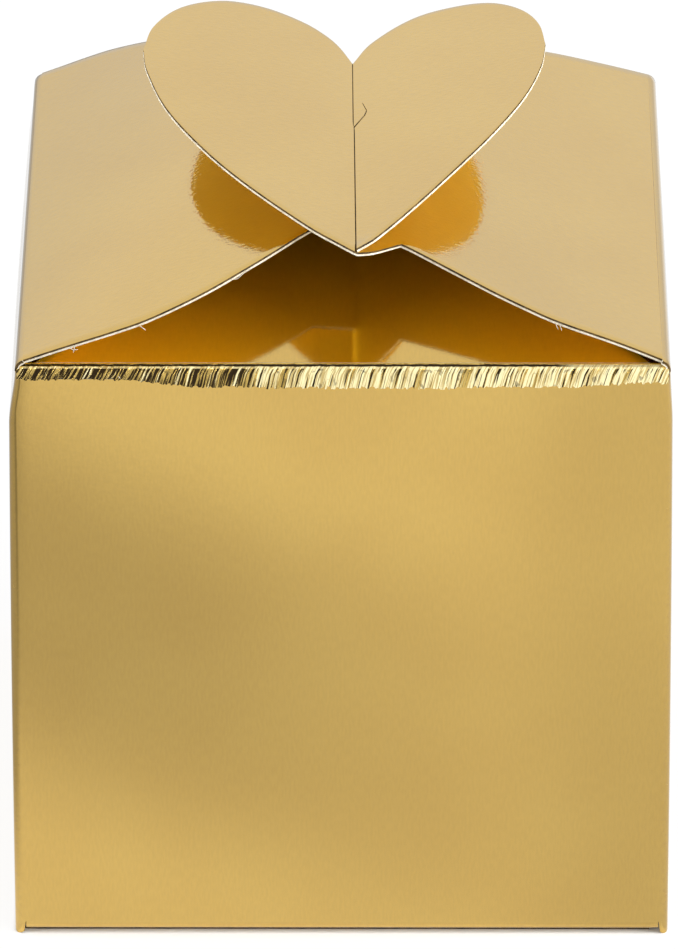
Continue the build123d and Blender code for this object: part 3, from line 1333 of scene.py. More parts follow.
@dataclass
class RolledFold:
    """The fat fold over the front or back wall, its foil crushed into slanting flakes.

    The profile is how far in from the wall and above the hinge the roll lies, in millimetres.
    """

    end: End
    finishes: Finishes
    half_length: float = 31.62 * MM
    width: float = 2.7 * MM
    flake_width: float = 0.22 * MM
    flake_depth: float = 0.06 * MM
    facet_share: float = 0.6
    ridge_share: float = 0.5
    ridge_pitch: float = 1.7
    ridge_length: float = 1.4 * MM
    fade_past: float = 1.02
    slant: float = CrackedFoilFinish.slant
    longest_tatter: float = 1.25 * MM
    tatter_swing: float = 5.0 * MM
    tatters_grow: Plan = (0.12, 0.34)
    tatters_shrink: Plan = (0.72, 1.0)
    shrink: float = 0.55
    steady_hang: float = 0.5
    swing_hang: float = 0.4
    ragged_hang: float = 0.13
    ragged_middle: float = 0.3
    hem: float = 0.34
    look: float = 0.02
    profile: Tuple[Plan, ...] = (
        (-0.05, -1.20), (-0.12, -0.80), (-0.08, -0.40), (0.14, -0.05), (0.46, 0.12), (0.82, 0.235),
    )

    ROWS = 24
    COLUMNS = 520
    SWING_SEED = (2.3, 0.4)
    RAGGED_SEED = 7.1
    FACET_SEED = 3.7
    RIDGE_SEED = 9.1
    CELL_MIDDLE = 0.5

    def tatter(self, u: float) -> float:
        """How far the foil hangs in tatters over the wall at a place along the roll.

        Args:
            u: The place along the roll.

        Returns:
            The tatter's length.
        """
        share = (u + self.half_length) / (2 * self.half_length)
        body = ease(share, *self.tatters_grow) * (1 - self.shrink * ease(share, *self.tatters_shrink))
        swing = 0.5 + 0.5 * noise.noise(Vector((u / self.tatter_swing, *self.SWING_SEED)))
        ragged = noise.cell(Vector((u / self.flake_width, self.RAGGED_SEED, self.CELL_MIDDLE)))
        hang = body * (self.steady_hang + self.swing_hang * swing)
        return self.longest_tatter * (hang + self.ragged_hang * (ragged - self.ragged_middle))

    def build(self) -> bpy.types.Object:
        """Builds the roll and blends it across the flap's hinge.

        Returns:
            The piece.
        """
        sign = self.end.value
        word = self.end.name.lower()
        line = SmoothLine.of_mm(self.profile)
        rows = spread(0.0, self.width, self.ROWS)

        def spot(share: float) -> Plan:
            """The y and z of the roll's profile at a share of its width."""
            inward, rise = line.at(share)
            return (sign * (SIZES.half_depth - inward), SIZES.dust_fold + rise)

        def place(u: float, v: float) -> Vector:
            """The place of a flat point on the crushed roll."""
            share = v / rows[-1]
            y, z = spot(share)
            ahead, behind = spot(min(1.0, share + self.look)), spot(max(0.0, share - self.look))
            along = Vector((0, ahead[0] - behind[0], ahead[1] - behind[1])).normalized()
            out = Vector((0, sign * abs(along.z), abs(along.y)))
            flake = (u - self.slant * v) / self.flake_width
            facet = noise.cell(Vector((flake, self.FACET_SEED * sign, self.CELL_MIDDLE)))
            seed = Vector((flake * self.ridge_pitch, v / self.ridge_length, self.RIDGE_SEED * sign))
            ridge = noise.noise(seed)
            fade = sin(pi * min(1.0, share * self.fade_past)) ** 0.5
            depth = self.flake_depth * fade * (self.facet_share * facet + self.ridge_share * ridge)
            hang = self.tatter(u - self.slant * v) * max(0.0, 1 - share / self.hem)
            return Vector((u, y, z - hang)) + out * depth

        sheet = SheetMesh(f"{word}_rolled_fold")
        columns = spread(-self.half_length, self.half_length, self.COLUMNS)
        sheet.lay(columns, rows, place, sign > 0, joint=lambda u, v: v in (rows[0], rows[-1]))
        thing = sheet.piece(self.finishes.cracked, self.finishes)
        y0, z0 = sign * SIZES.half_depth, SIZES.dust_fold - SIZES.start
        y1, z1 = spot(1.0)
        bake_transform(thing, "box", f"{word}_flap", start=(0, y0, z0), end=(0, y1, z1))
        return dress(thing, (f"{word}_flap_crease",))


@dataclass
class MitredFlap:
    """A flap on the front or back wall that narrows at 45 degrees to rounded corners."""

    name: str
    node: str
    body: str
    end: End
    fold: Plan
    length: float
    half_at_fold: float
    faces_up: bool
    finishes: Finishes
    slope: float = 0.0
    crown: float = 0.0
    corner_radius: float = 3.0 * MM
    round_share: float = 0.9

    MITRE = radians(45)
    ROUND_ROWS = 6
    ROWS = 26
    COLUMNS = 40

    def half(self, reach: float) -> float:
        """Half the flap's width at a distance in plan from its fold.

        Args:
            reach: The distance.

        Returns:
            Half the width.
        """
        flat = self.length * cos(self.slope)
        tangent = self.corner_radius * tan(self.MITRE / 2)
        if reach < flat - tangent * cos(self.MITRE):
            return self.half_at_fold - reach
        centre = self.half_at_fold - flat - tangent
        past = reach - flat + self.corner_radius
        return centre + sqrt(max(0.0, self.corner_radius**2 - past**2))

    def build(self) -> bpy.types.Object:
        """Builds the flap.

        Returns:
            The piece.
        """
        sign = self.end.value
        curve = self.round_share * self.corner_radius
        shares = [sin(pi / 2 * i / self.ROUND_ROWS) for i in range(self.ROUND_ROWS + 1)]
        ends = [self.length - curve * (1 - share) for share in shares]
        rows = spread(SIZES.start, ends[0], self.ROWS)[:-1] + ends
        columns = spread(-1.0, 1.0, self.COLUMNS)

        def place(u: float, v: float) -> Vector:
            """The place of a flat point on the flap."""
            reach = v * cos(self.slope)
            lift = v * sin(self.slope) + self.crown * sin(pi * v / self.length)
            y = self.fold[0] - sign * reach
            return Vector((u * self.half(reach), y, self.fold[1] + lift))

        sheet = SheetMesh(self.name)
        up_by_itself = sign < 0
        sheet.lay(columns, rows, place, up_by_itself != self.faces_up, joint=lambda u, v: v == rows[0])
        sheet.flatten(lambda spot, flat: (spot.x, flat.y))
        thing = sheet.piece(self.finishes.foil, self.finishes)
        return fit(thing, self.body, (self.node,))


@dataclass
class RoofFlap:
    """A roof flap with the half of the heart at its end, slit so that the other flap passes through.

    The edges are plan points in millimetres. The ridge, where the roof turns into the heart, leans a little.
    """

    side: Side
    finishes: Finishes
    front_edge: Tuple[Plan, ...]
    back_edge: Tuple[Plan, ...]
    lower_edge: Tuple[Plan, ...]
    upper_edge: Tuple[Plan, ...]
    slit_at: End
    belly: float
    lobe_start: float = radians(11.0)
    slit_end: float = -1.5 * MM
    slit_gap: float = 0.05 * MM
    slit_fade: float = 1.2 * MM
    slit_reach: float = 2.0 * MM
    slit_line: float = 0.0026
    stack_gap: float = 0.03 * MM
    step_length: float = 0.35 * MM
    settle_length: float = 6.0 * MM
    end_length: float = 2.6 * MM
    tip_lift: float = 0.6
    ridge_slant: float = 0.0085
    square_at: float = 9.0 * MM
    lean_reach: float = 22.0 * MM

    ROWS = spread(0.0, 1.0, 24) + spread(1.0, 2.0, 30)[1:]
    OUTER_COLUMNS = 44
    INNER_COLUMNS = 9
    STEP_COLUMNS = 3
    HEART_COLUMNS = 56

    @property
    def sign(self) -> int:
        """The flap's side as a sign."""
        return self.side.value

    @property
    def word(self) -> str:
        """The flap's side as a word."""
        return self.side.name.lower()

    @property
    def other(self) -> str:
        """The other side as a word."""
        return "right" if self.side is Side.LEFT else "left"

    @property
    def crease_slope(self) -> float:
        """How steeply the roof leaves its fold."""
        return ROOF_SLOPE[self.side]

    @cached_property
    def heart(self) -> Tuple[Sequence[float], Sequence[float]]:
        """The low and high corners of the CAD half of the heart."""
        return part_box(f"{self.other}_heart_half")

    @cached_property
    def tip(self) -> float:
        """Where the heart's tip lies, along y."""
        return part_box("left_heart_half")[0][1]

    def deep(self, y: float) -> float:
        """How deep a place along the ridge lies in the slits: 0 at the heart's tip, 1 inside."""
        return ease(y - self.tip, 0.0, self.end_length)

    def height(self, x: float, y: float, on_heart: bool) -> float:
        """The outer face's height at a plan point.

        The two halves of the heart lie flush along the slit. Each roof ducks under the half that
        lies on it, and an unslit sheet steps up through the other's slit.

        Args:
            x: The point's x.
            y: The point's y.
            on_heart: Whether the point is on the half of the heart, and not on the roof.

        Returns:
            Its z.
        """
        ahead = (x - SIZES.ridge_x) * -self.sign
        thick = SIZES.board + self.stack_gap
        cut = ease((y - self.slit_end) * self.slit_at.value, 0.0, self.slit_fade)
        if not on_heart:
            run = abs(SIZES.fold_x - self.sign * SIZES.ridge_x)
            reach = run + ahead
            rise = SIZES.ridge_z - SIZES.roof_fold
            first = tan(self.crease_slope)
            bow = (rise - first * run) / run**2
            step = cut + (1 - cut) * ease(-ahead, 0.0, self.step_length)
            under = (1 - self.tip_lift) + self.tip_lift * self.deep(y)
            duck = thick * step * under * (1 - ease(-ahead, self.step_length, self.settle_length))
            share = reach / run
            belly = 4 * self.belly * share * (1 - share) * (1 - (y / SIZES.half_depth) ** 2)
            return SIZES.roof_fold + first * reach + bow * reach**2 + belly - duck
        low, high = self.heart
        span = high[0] - low[0]
        top = high[2] - SIZES.ridge_z
        first = tan(self.lobe_start)
        bow = (top - first * span) / span**2
        lift = self.tip_lift * thick * cut * (1 - self.deep(y)) * (1 - ease(ahead, 0.0, self.settle_length))
        return SIZES.ridge_z + first * ahead + bow * ahead**2 + lift

    def parted(self, x: float, y: float, own: bool) -> float:
        """An x near the ridge, drawn back where the slit parts the sheet.

        Args:
            x: The point's x.
            y: The point's y.
            own: Whether the point is on the roof, and not on the half of the heart.

        Returns:
            The new x.
        """
        if (y - self.slit_end) * self.slit_at.value <= 0:
            return x
        near = 1 - ease(abs(x - SIZES.ridge_x), 0.0, self.slit_reach)
        parting = ease(abs(y - self.slit_end), 0.0, self.slit_fade)
        return x + (self.sign if own else -self.sign) * self.slit_gap * near * parting

    def lean(self, x: float, y: float) -> float:
        """How far a plan point shifts sideways, because the ridge doesn't run quite straight back."""
        near = 1 - min(1.0, abs(x - SIZES.ridge_x) / self.lean_reach)
        return self.ridge_slant * (self.square_at - y) * near

    def laid(self, x: float, y: float, on_heart: bool) -> Vector:
        """The place of a plan point on the finished box.

        Args:
            x: The point's x.
            y: The point's y.
            on_heart: Whether the point is on the half of the heart, and not on the roof.

        Returns:
            The place.
        """
        shifted = self.parted(x, y, not on_heart) + self.lean(x, y)
        return Vector((shifted, y, self.height(x, y, on_heart)))

    def lay_roof(self, sheet: SheetMesh) -> None:
        """Lays the roof, from its crease to the ridge.

        A roof that is slit from the front is cut off square beside its slit.

        Args:
            sheet: The sheet to lay it on.
        """
        front, back = SmoothLine.of_mm(self.front_edge), SmoothLine.of_mm(self.back_edge)
        notch, rear_notch = self.front_edge[-1][0] * MM, self.back_edge[-1][0] * MM
        corner, rear_corner = front.points[-1].y, back.points[-1].y
        turn = corner if self.slit_at is End.FRONT else self.tip
        cleft = self.upper_edge[0][1] * MM
        start = self.sign * SIZES.fold_x - self.sign * SIZES.start * cos(self.crease_slope)
        step = SIZES.ridge_x + self.sign * self.step_length
        columns = spread(start, notch, self.OUTER_COLUMNS)
        columns += spread(notch, step, self.INNER_COLUMNS)[1:]
        columns += spread(step, SIZES.ridge_x, self.STEP_COLUMNS)[1:]

        def limits(x: float) -> Plan:
            """Where the roof starts and ends along y."""
            share = (x - notch) / (SIZES.ridge_x - notch)
            low = front.across(x) if share <= 0 else corner + (turn - corner) * share
            rear = (x - rear_notch) / (SIZES.ridge_x - rear_notch)
            high = back.across(x) if rear <= 0 else rear_corner + (cleft - rear_corner) * rear
            return low, high

        spans = {x: limits(x) for x in columns}

        def place(u: float, v: float) -> Vector:
            """The place of a flat point on the roof."""
            low, high = spans[u]
            first, last, share = (low, self.slit_end, v) if v <= 1 else (self.slit_end, high, v - 1)
            return self.laid(u, first + (last - first) * share, False)

        sheet.lay(columns, self.ROWS, place, self.sign > 0, joint=lambda u, v: u == columns[0])

    def lay_heart_half(self, sheet: SheetMesh) -> None:
        """Lays the half of the heart, from the ridge to the end of its lobe.

        Args:
            sheet: The sheet to lay it on.
        """
        lower, upper = SmoothLine.of_mm(self.lower_edge), SmoothLine.of_mm(self.upper_edge)
        middle = SmoothLine([(SIZES.ridge_x, self.slit_end), tuple(lower.points[-1])])
        shares = [sin(pi / 2 * i / self.HEART_COLUMNS) for i in range(1, self.HEART_COLUMNS + 1)]

        def place(u: float, v: float) -> Vector:
            """The place of a flat point on the half of the heart."""
            first, second, share = (lower, middle, v) if v <= 1 else (middle, upper, v - 1)
            point = first.at(u).lerp(second.at(u), share)
            return self.laid(point.x if u > 0 else SIZES.ridge_x, point.y, True)

        def slot(u: float, v: float) -> int:
            """The slot of the dark line along the slit, or of the outer face."""
            inside = v > 1 if self.slit_at is End.BACK else v < 1
            return SheetMesh.LIP_SLOT if inside and u < self.slit_line else SheetMesh.OUTER_SLOT

        sheet.lay([0.0, self.slit_line] + shares, self.ROWS, place, self.sign > 0, slot=slot)

    def build(self) -> bpy.types.Object:
        """Builds the flap.

        Returns:
            The piece.
        """
        sheet = SheetMesh(f"{self.word}_roof_flap")
        self.lay_roof(sheet)
        self.lay_heart_half(sheet)
        sheet.flatten(lambda spot, flat: (spot.y, spot.x))
        thing = sheet.piece(self.finishes.roof, self.finishes)
        nodes = (f"{self.word}_roof_panel", f"{self.other}_heart_half")
        return fit(thing, f"{self.word}_roof", nodes)


@dataclass
class TornFibres:
    """Fibres that stand out from a roof flap, at its cut edge or where a slit ends.

    Each is a chain of points: x and y in plan and the rise above the sheet, in millimetres.
    """

    name: str
    flap: RoofFlap
    chains: Tuple[Tuple[Spot, ...], ...]
    finish: bpy.types.Material
    thickness: float = 0.04 * MM
    taper: float = 0.7

    def spot(self, point: Spot) -> Vector:
        """The place of one point of a chain.

        Args:
            point: The point, in millimetres.

        Returns:
            The place on the box.
        """
        x, y = point[0] * MM, point[1] * MM
        on_heart = (x - SIZES.ridge_x) * self.flap.sign < 0
        return Vector((x, y, self.flap.height(x, y, on_heart) + point[2] * MM))

    def build(self) -> bpy.types.Object:
        """Builds the fibres.

        Returns:
            The piece.
        """
        mesh = bmesh.new()
        for chain in self.chains:
            spots = [self.spot(point) for point in chain]
            for start, finish in zip(spots, spots[1:]):
                along = finish - start
                turn = along.to_track_quat("Z", "Y").to_matrix().to_4x4()
                bmesh.ops.create_cone(
                    mesh, cap_ends=True, segments=6, radius1=self.thickness,
                    radius2=self.taper * self.thickness, depth=along.length,
                    matrix=Matrix.Translation((start + finish) / 2) @ turn,
                )
        thing = make_object(self.name, mesh)
        thing.data.materials.append(self.finish)
        thing.data.shade_smooth()
        return fit(thing, f"{self.flap.word}_roof", ())


@dataclass
class TuckBase:
    """The base panel with the tuck flap that holds it, as one bent stretch of the sheet."""

    finishes: Finishes
    corner_radius: float = 6.0 * MM
    fold_slack: float = 0.12 * MM
    lean: float = radians(8.0)
    nodes: Tuple[str, ...] = ("base_panel", "tuck_crease", "tuck_flap")

    PANEL_STEPS = 40
    FOLD_STEPS = 8
    TUCK_STEPS = 24
    ROWS = 36

    def stops(self) -> List[Spot]:
        """The stops along the panel, round the fold and up the tuck flap.

        Returns:
            For each stop: x, z and half the sheet's width.
        """
        panel_low, panel_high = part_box("base_panel")
        tuck_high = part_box("tuck_flap")[1]
        fold_x = tuck_high[0] + (tuck_high[0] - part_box("tuck_crease")[1][0]) + self.fold_slack
        first = (panel_high[0], panel_low[2])
        last = (fold_x - SIZES.start * sin(self.lean), SIZES.start * cos(self.lean))
        wide, narrow = panel_high[1], tuck_high[1]
        found = [(x, panel_low[2], wide) for x in spread(panel_low[0], first[0], self.PANEL_STEPS)]
        for i in range(1, self.FOLD_STEPS + 1):
            x, z = bend_point(first, (fold_x, 0.0), last, i / self.FOLD_STEPS)
            found.append((x, z, narrow))
        length = (tuck_high[2] - last[1]) / cos(self.lean)
        for i in range(1, self.TUCK_STEPS + 1):
            reach = length * sin(pi / 2 * i / self.TUCK_STEPS)
            past = max(0.0, reach - length + self.corner_radius)
            half = narrow - self.corner_radius + sqrt(max(0.0, self.corner_radius**2 - past**2))
            found.append((last[0] - reach * sin(self.lean), last[1] + reach * cos(self.lean), half))
        return found

    def build(self) -> bpy.types.Object:
        """Builds the base.

        Returns:
            The piece.
        """
        stops = self.stops()
        columns = [float(i) for i in range(len(stops))]

        def place(u: float, v: float) -> Vector:
            """The place of a flat point on the base."""
            x, z, half = stops[round(u)]
            return Vector((x, v * half, z))

        sheet = SheetMesh("tuck_base")
        sheet.lay(columns, spread(-1.0, 1.0, self.ROWS), place, True, joint=lambda u, v: u == 0)
        sheet.flatten(lambda spot, flat: (spot.y, spot.x + spot.z))
        thing = sheet.piece(self.finishes.foil, self.finishes)
        return fit(thing, "base", self.nodes)


@dataclass
class Studio:
    """The camera, a pale floor with painted shade that only the box's reflections show, a soft dome with a
    dark camera side, and three soft lamps.

    A painted shade on the floor, like a flag on the sky, has four numbers: where it starts and ends across
    the floor or the sky, and how bright it leaves it there. The floor's painted shades show only in the
    box's reflections.
    """

    elevation: float = radians(28.086)
    azimuth: float = radians(-0.271)
    roll: float = radians(-0.083)
    distance: float = 1.0291
    target: Spot = (-0.000475, 0.0, 0.034842)
    lens: float = 386.92
    sensor: float = 36.0
    clip: Plan = (0.01, 20.0)
    floor_size: float = 6.0
    floor_grey: Colour = (0.92, 0.92, 0.92, 1.0)
    floor_rough: float = 0.9
    floor_white: float = 0.86
    shadow_white: float = 0.0
    shadow_reach: float = 3.6 * MM
    side_at: float = 32.5 * MM
    side_haste: float = 4.0
    # painted shade on the floor towards the left and the right, seen only in the box's reflections
    left_painted_shade: Ramp = (-70.0 * MM, -33.0 * MM, 0.5, 1.0)
    right_painted_shade: Ramp = (14.0 * MM, 30.0 * MM, 1.0, 0.87)
    # a painted shadow band on the floor before the box, seen only in the front wall's reflection
    painted_band_left: Plan = (-32.0 * MM, -102.0 * MM)
    painted_band_right: Plan = (32.0 * MM, -58.0 * MM)
    painted_band_half: float = 46.0 * MM
    painted_band_depth: Plan = (0.34, 0.08)
    dome_stops: Tuple[Plan, ...] = (
        (0.0, 0.72), (0.12, 0.8), (0.28, 0.9), (0.37, 1.0), (0.7, 1.0), (1.0, 1.0),
    )
    camera_side: Spot = (0.0, -cos(radians(32)), sin(radians(32)))
    camera_flag: Ramp = (0.84, 0.96, 1.0, 0.75)
    left_sky: Ramp = (-0.95, -0.45, 0.6, 1.0)
    right_sky: Ramp = (0.45, 0.95, 1.0, 0.76)
    lamps: Tuple[Tuple[str, Spot, float, float], ...] = (
        ("key_lamp", (0.35, -0.30, 0.80), 0.5, 2.2),
        ("left_lamp", (-0.55, -0.12, 0.05), 0.3, 3.5),
        ("right_lamp", (0.55, -0.12, 0.05), 0.3, 7.0),
    )

    BLACK = (0.0, 0.0, 0.0, 1.0)
    WHITE = (1.0, 1.0, 1.0, 1.0)

    def camera(self) -> None:
        """Sets the camera at the photograph's viewing angle."""
        level = cos(self.elevation)
        forward = Vector((sin(self.azimuth) * level, cos(self.azimuth) * level, -sin(self.elevation)))
        right = forward.cross(Vector((0, 0, 1))).normalized()
        up = right.cross(forward)
        right, up = (
            right * cos(self.roll) + up * sin(self.roll),
            up * cos(self.roll) - right * sin(self.roll),
        )
        data = bpy.data.cameras.new("camera")
        data.lens = self.lens
        data.sensor_width = self.sensor
        data.sensor_fit = "AUTO"
        data.clip_start, data.clip_end = self.clip
        thing = bpy.data.objects.new("camera", data)
        bpy.context.scene.collection.objects.link(thing)
        turn = Matrix((right, up, -forward)).transposed().to_4x4()
        turn.translation = Vector(self.target) - forward * self.distance
        thing.matrix_world = turn
        bpy.context.scene.camera = thing

    def floor(self) -> None:
        """Lays the floor, which looks white and keeps the box's shadow; in the box's reflections it has
        painted shade at the left, at the right and in a band before the box.
        """
        mesh = bmesh.new()
        bmesh.ops.create_grid(mesh, x_segments=1, y_segments=1, size=self.floor_size / 2)
        thing = make_object("floor", mesh)
        material, nodes, shader = new_material("floor_white")
        path = nodes.add("ShaderNodeLightPath").outputs
        glossy = path["Is Glossy Ray"]
        seen = nodes.most(nodes.most(path["Is Camera Ray"], glossy), path["Is Transmission Ray"])
        x, y, _ = nodes.parts(nodes.where())
        # painted shade on the floor: darker towards the left and the right, and in a band before the box
        after_painted_shade = nodes.times(nodes.ranged(x, *self.right_painted_shade), nodes.ranged(x, *self.left_painted_shade))
        after_painted_shade = nodes.times(after_painted_shade, nodes.rest(self.painted_shadow_band(nodes, x, y)))
        # the painted shade reaches glossy rays only: a darker base colour and a weaker glow in the box's
        # reflections
        level = nodes.rest(nodes.times(nodes.rest(after_painted_shade), glossy))
        grey = nodes.blend(level, self.BLACK, self.floor_grey)
        nodes.fill(shader, {"Base Color": grey, "Roughness": self.floor_rough})
        glow = nodes.add("ShaderNodeEmission")
        nodes.fill(glow, {"Strength": level})
        aside = nodes.minus(nodes.math("ABSOLUTE", x), self.side_at)
        before = nodes.minus(nodes.math("ABSOLUTE", y), SIZES.half_depth)
        away = nodes.most(nodes.times(aside, self.side_haste), before)
        close = nodes.ranged(away, 0.0, self.shadow_reach, 1.0, 0.0)
        white = nodes.ranged(nodes.times(close, close), 0.0, 1.0, self.floor_white, self.shadow_white)
        mixed = nodes.mix(nodes.times(seen, white), shader.outputs[0], glow.outputs[0])
        nodes.feed(mixed, material.node_tree.nodes["Material Output"].inputs[0])
        thing.data.materials.append(material)

    def painted_shadow_band(self, nodes: Nodes, x: Socket, y: Socket) -> Socket:
        """A soft painted shadow band across the floor before the box, seen only in reflections: the front
        wall mirrors it.

        Args:
            nodes: The floor's nodes.
            x: The floor's x.
            y: The floor's y.

        Returns:
            How much the painted shadow darkens the floor, from 0 to 1.
        """
        along = Vector(self.painted_band_right) - Vector(self.painted_band_left)
        across = Vector((-along.y, along.x)).normalized()
        start = across.dot(Vector(self.painted_band_left))
        off = nodes.plus(nodes.times(x, across.x), nodes.times(y, across.y))
        off = nodes.math("ABSOLUTE", nodes.minus(off, start))
        depth = nodes.ranged(x, self.painted_band_left[0], self.painted_band_right[0], *self.painted_band_depth)
        edge = nodes.ranged(off, 0.0, self.painted_band_half)
        return nodes.times(nodes.rest(nodes.times(edge, edge)), depth)

    def dome(self) -> None:
        """Lights the scene from a pale dome, darker round the camera, at the sides and at the horizon."""
        world = bpy.data.worlds.new("studio")
        bpy.context.scene.world = world
        world.use_nodes = True
        nodes = Nodes(world.node_tree)
        where = nodes.where("Generated")
        x, _, z = nodes.parts(where)
        ramp = nodes.add("ShaderNodeValToRGB")
        while len(ramp.color_ramp.elements) < len(self.dome_stops):
            ramp.color_ramp.elements.new(0.5)
        for element, (place, level) in zip(ramp.color_ramp.elements, self.dome_stops):
            element.position = place
            element.color = (level, level, level, 1)
        rising = nodes.pour(ramp, z)
        facing = nodes.add("ShaderNodeVectorMath", operation="DOT_PRODUCT")
        nodes.pour(facing, where, self.camera_side)
        dark = nodes.ranged(facing.outputs["Value"], *self.camera_flag)
        sides = nodes.times(nodes.ranged(x, *self.left_sky), nodes.ranged(x, *self.right_sky))
        shade = nodes.blend(1.0, rising, nodes.times(dark, sides), "MULTIPLY")
        lit = world.node_tree.nodes["Background"]
        nodes.fill(lit, {"Color": shade})
        plain = nodes.add("ShaderNodeBackground")
        nodes.fill(plain, {"Color": self.WHITE})
        seen = nodes.add("ShaderNodeLightPath").outputs["Is Camera Ray"]
        mixed = nodes.mix(seen, lit.outputs[0], plain.outputs[0])
        nodes.feed(mixed, world.node_tree.nodes["World Output"].inputs[0])

    def lamp(self, name: str, place: Spot, size: float, power: float) -> None:
        """Hangs a soft square lamp that faces the box.

        Args:
            name: The lamp's name.
            place: Where it hangs.
            size: The length of its side.
            power: Its power in watts.
        """
        data = bpy.data.lights.new(name, "AREA")
        data.size = size
        data.energy = power
        thing = bpy.data.objects.new(name, data)
        thing.location = place
        aim = Vector(self.target) - Vector(place)
        thing.rotation_euler = aim.to_track_quat("-Z", "Y").to_euler()
        thing.visible_camera = False
        bpy.context.scene.collection.objects.link(thing)

    def build(self) -> None:
        """Sets the camera, the floor and the light."""
        self.camera()
        self.floor()
        self.dome()
        for lamp in self.lamps:
            self.lamp(*lamp)
        bpy.context.scene.view_settings.view_transform = "Standard"


def roof_folds(finishes: Finishes) -> List[Fold]:
    """The folds that the roof flaps turn on.

    Args:
        finishes: The finishes of the sheet.

    Returns:
        The two folds.
    """
    found = []
    for side, slope in ROOF_SLOPE.items():
        sign = side.value
        word = side.name.lower()
        x, z = sign * SIZES.fold_x, SIZES.roof_fold
        node = f"{word}_roof_crease"
        low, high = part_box(node)
        found.append(
            Fold(
                name=f"{word}_roof_fold",
                axis="Y",
                first=(x, z - SIZES.start),
                corner=(x, z),
                last=(x - sign * SIZES.start * cos(slope), z + SIZES.start * sin(slope)),
                low=low[1],
                high=high[1],
                body=f"{word}_roof",
                node=node,
                finishes=finishes,
                turned=side is Side.LEFT,
            )
        )
    return found


def base_folds(finishes: Finishes) -> List[Fold]:
    """The folds under the box: the base panel's, and those of the two flaps that lie on it.

    Args:
        finishes: The finishes of the sheet.

    Returns:
        The three folds.
    """
    foot_x = -SIZES.half_width - SWELL[Side.LEFT][0]
    low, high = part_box("base_crease")
    found = [
        Fold(
            name="base_fold",
            axis="Y",
            first=(foot_x, SIZES.start),
            corner=(foot_x, 0.0),
            last=(-SIZES.half_width + SIZES.start, 0.0),
            low=low[1],
            high=high[1],
            body="base",
            node="base_crease",
            finishes=finishes,
        )
    ]
    out, drop = BASE_CORNER
    for end in End:
        sign = end.value
        word = end.name.lower()
        y, z = sign * SIZES.half_depth, SIZES.bottom_fold
        found.append(
            Fold(
                name=f"{word}_base_fold",
                axis="X",
                first=(y, z + SIZES.start),
                corner=(y + sign * out, z - drop),
                last=(y - sign * SIZES.start, z),
                low=-WallTube.flat_left,
                high=WallTube.flat_right,
                body=f"{word}_base",
                node=f"{word}_base_crease",
                finishes=finishes,
                turned=end is End.FRONT,
            )
        )
    return found


def mitred_flaps(finishes: Finishes) -> List[MitredFlap]:
    """The dust flaps under the roof and the flaps on the base panel.

    Args:
        finishes: The finishes of the sheet.

    Returns:
        The four flaps.
    """
    found = []
    for end in End:
        sign = end.value
        word = end.name.lower()
        low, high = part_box(f"{word}_dust_flap")
        reach = SIZES.half_depth - min(abs(low[1]), abs(high[1]))
        rise = high[2] - SIZES.dust_fold
        slope = atan2(rise, reach)
        found.append(
            MitredFlap(
                name=f"{word}_dust_flap_sheet",
                node=f"{word}_dust_flap",
                body=f"{word}_flap",
                end=end,
                fold=(sign * SIZES.half_depth, SIZES.dust_fold),
                length=hypot(reach, rise),
                half_at_fold=high[0] + SIZES.start * cos(slope),
                faces_up=True,
                finishes=finishes,
                slope=slope,
                crown=0.24 * MM,
            )
        )
        low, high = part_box(f"{word}_base_flap")
        found.append(
            MitredFlap(
                name=f"{word}_base_flap_sheet",
                node=f"{word}_base_flap",
                body=f"{word}_base",
                end=end,
                fold=(sign * SIZES.half_depth, SIZES.bottom_fold),
                length=SIZES.half_depth - min(abs(low[1]), abs(high[1])),
                half_at_fold=high[0] + SIZES.start,
                faces_up=False,
                finishes=finishes,
            )
        )
    return found


def roof_flaps(finishes: Finishes) -> List[RoofFlap]:
    """The two roof flaps with their halves of the heart, drawn in plan in millimetres.

    Args:
        finishes: The finishes of the sheet.

    Returns:
        The left flap and the right one.
    """
    left = RoofFlap(
        side=Side.LEFT,
        finishes=finishes,
        front_edge=(
            (-32.0, -31.7), (-26.2, -31.9), (-22.7, -32.0), (-19.5, -31.8), (-16.4, -30.9), (-13.2, -29.5),
            (-10.15, -27.6), (-7.0, -25.3), (-3.3, -22.1),
        ),
        back_edge=(
            (-32.0, 32.0), (-28.8, 32.0), (-25.9, 32.1), (-23.8, 32.0), (-20.3, 31.1), (-14.0, 28.4),
            (-8.0, 24.2), (-3.4, 20.0),
        ),
        lower_edge=(
            (0.9, -28.9), (2.6, -27.1), (6.0, -22.3), (10.2, -15.5), (14.5, -7.8), (17.8, -0.4), (19.6, 6.2),
            (20.1, 11.0),
        ),
        upper_edge=(
            (0.9, 12.7), (2.8, 16.7), (7.2, 21.0), (12.0, 22.3), (15.2, 21.8), (17.9, 19.4), (19.5, 15.8),
            (20.1, 11.0),
        ),
        slit_at=End.FRONT,
        belly=1.0 * MM,
    )
    right = RoofFlap(
        side=Side.RIGHT,
        finishes=finishes,
        front_edge=(
            (32.0, -31.6), (26.9, -30.8), (20.6, -30.3), (17.5, -29.4), (14.4, -28.2), (8.1, -25.2),
            (5.5, -24.0),
        ),
        back_edge=((32.0, 32.0), (26.0, 30.8), (20.6, 29.5), (14.0, 27.0), (9.0, 23.8), (5.3, 20.0)),
        lower_edge=(
            (0.9, -29.0), (-0.8, -27.6), (-3.4, -25.3), (-9.2, -18.4), (-13.4, -12.1), (-17.4, -3.8),
            (-19.6, 4.7), (-20.0, 9.0),
        ),
        upper_edge=(
            (0.9, 12.7), (-0.35, 15.8), (-1.7, 18.0), (-4.1, 20.4), (-8.2, 22.5), (-12.3, 22.6),
            (-16.4, 19.8), (-19.1, 14.6), (-20.0, 9.0),
        ),
        slit_at=End.BACK,
        belly=-0.4 * MM,
    )
    return [left, right]


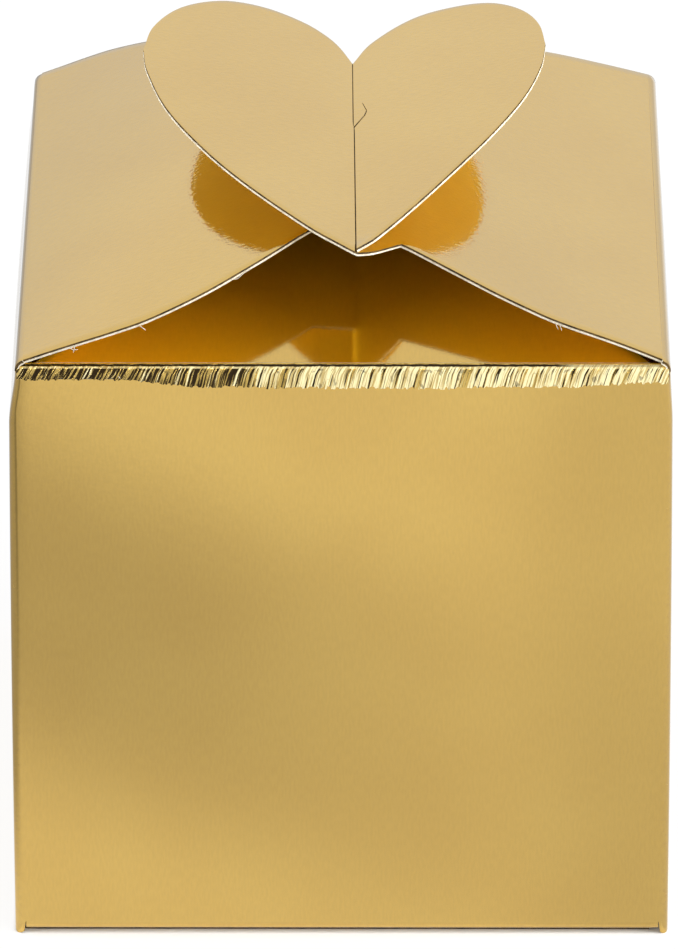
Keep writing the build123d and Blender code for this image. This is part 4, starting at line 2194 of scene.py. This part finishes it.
def torn_fibres(flaps: Sequence[RoofFlap], finishes: Finishes) -> List[TornFibres]:
    """The few frayed places along the roof's cut edges and at the end of the slits.

    Args:
        flaps: The left and the right roof flap.
        finishes: The finishes of the sheet.

    Returns:
        The fibres of each flap, and the dark one where the slits meet.
    """
    left, right = flaps
    left_chains = (
        ((-19.75, -31.85, -0.25), (-19.35, -32.0, -0.6), (-19.05, -31.95, -1.0)),
        ((-26.4, -31.95, -0.3), (-26.05, -32.05, -0.62), (-25.6, -32.05, -0.72)),
        ((-25.9, -31.95, -0.3), (-26.05, -32.05, -0.9)),
        ((-10.9, -28.2, -0.3), (-10.2, -27.95, -0.55), (-9.2, -27.1, -0.3)),
    )
    right_chains = (
        ((20.6, -30.4, -0.3), (20.85, -30.5, -0.85)),
        ((21.0, -30.45, -0.3), (21.2, -30.55, -0.8)),
    )
    hair = (((1.0, -1.8, 0.02), (2.05, 0.5, 0.03), (2.25, 1.5, 0.05), (1.85, 3.3, 0.02)),)
    return [
        TornFibres("left_edge_fibres", left, left_chains, finishes.core),
        TornFibres("right_edge_fibres", right, right_chains, finishes.core),
        TornFibres("slit_fibre", left, hair, finishes.lip, thickness=0.03 * MM),
    ]


def dress_glue(finishes: Finishes) -> None:
    """Gives the seam's glue, which keeps its CAD shape, its finish.

    Args:
        finishes: The finishes of the sheet.
    """
    glue = frame["nodes"]["seam_glue"]
    if not glue.material_slots:
        glue.data.materials.append(finishes.glue)
    for slot in glue.material_slots:
        slot.material = finishes.glue
    LOG.info("seam_glue: CAD shape kept")


def main() -> None:
    """Builds the studio and every piece of the box."""
    logging.basicConfig(level=logging.INFO, format="%(name)s %(message)s")
    Studio().build()
    finishes = Finishes()
    pieces = [WallTube(finishes)]
    pieces += roof_folds(finishes)
    pieces += base_folds(finishes)
    pieces += [RolledFold(end, finishes) for end in End]
    pieces += mitred_flaps(finishes)
    flaps = roof_flaps(finishes)
    pieces += flaps
    pieces += torn_fibres(flaps, finishes)
    pieces.append(TuckBase(finishes))
    for piece in pieces:
        piece.build()
    dress_glue(finishes)


if __name__ == "__main__":
    main()
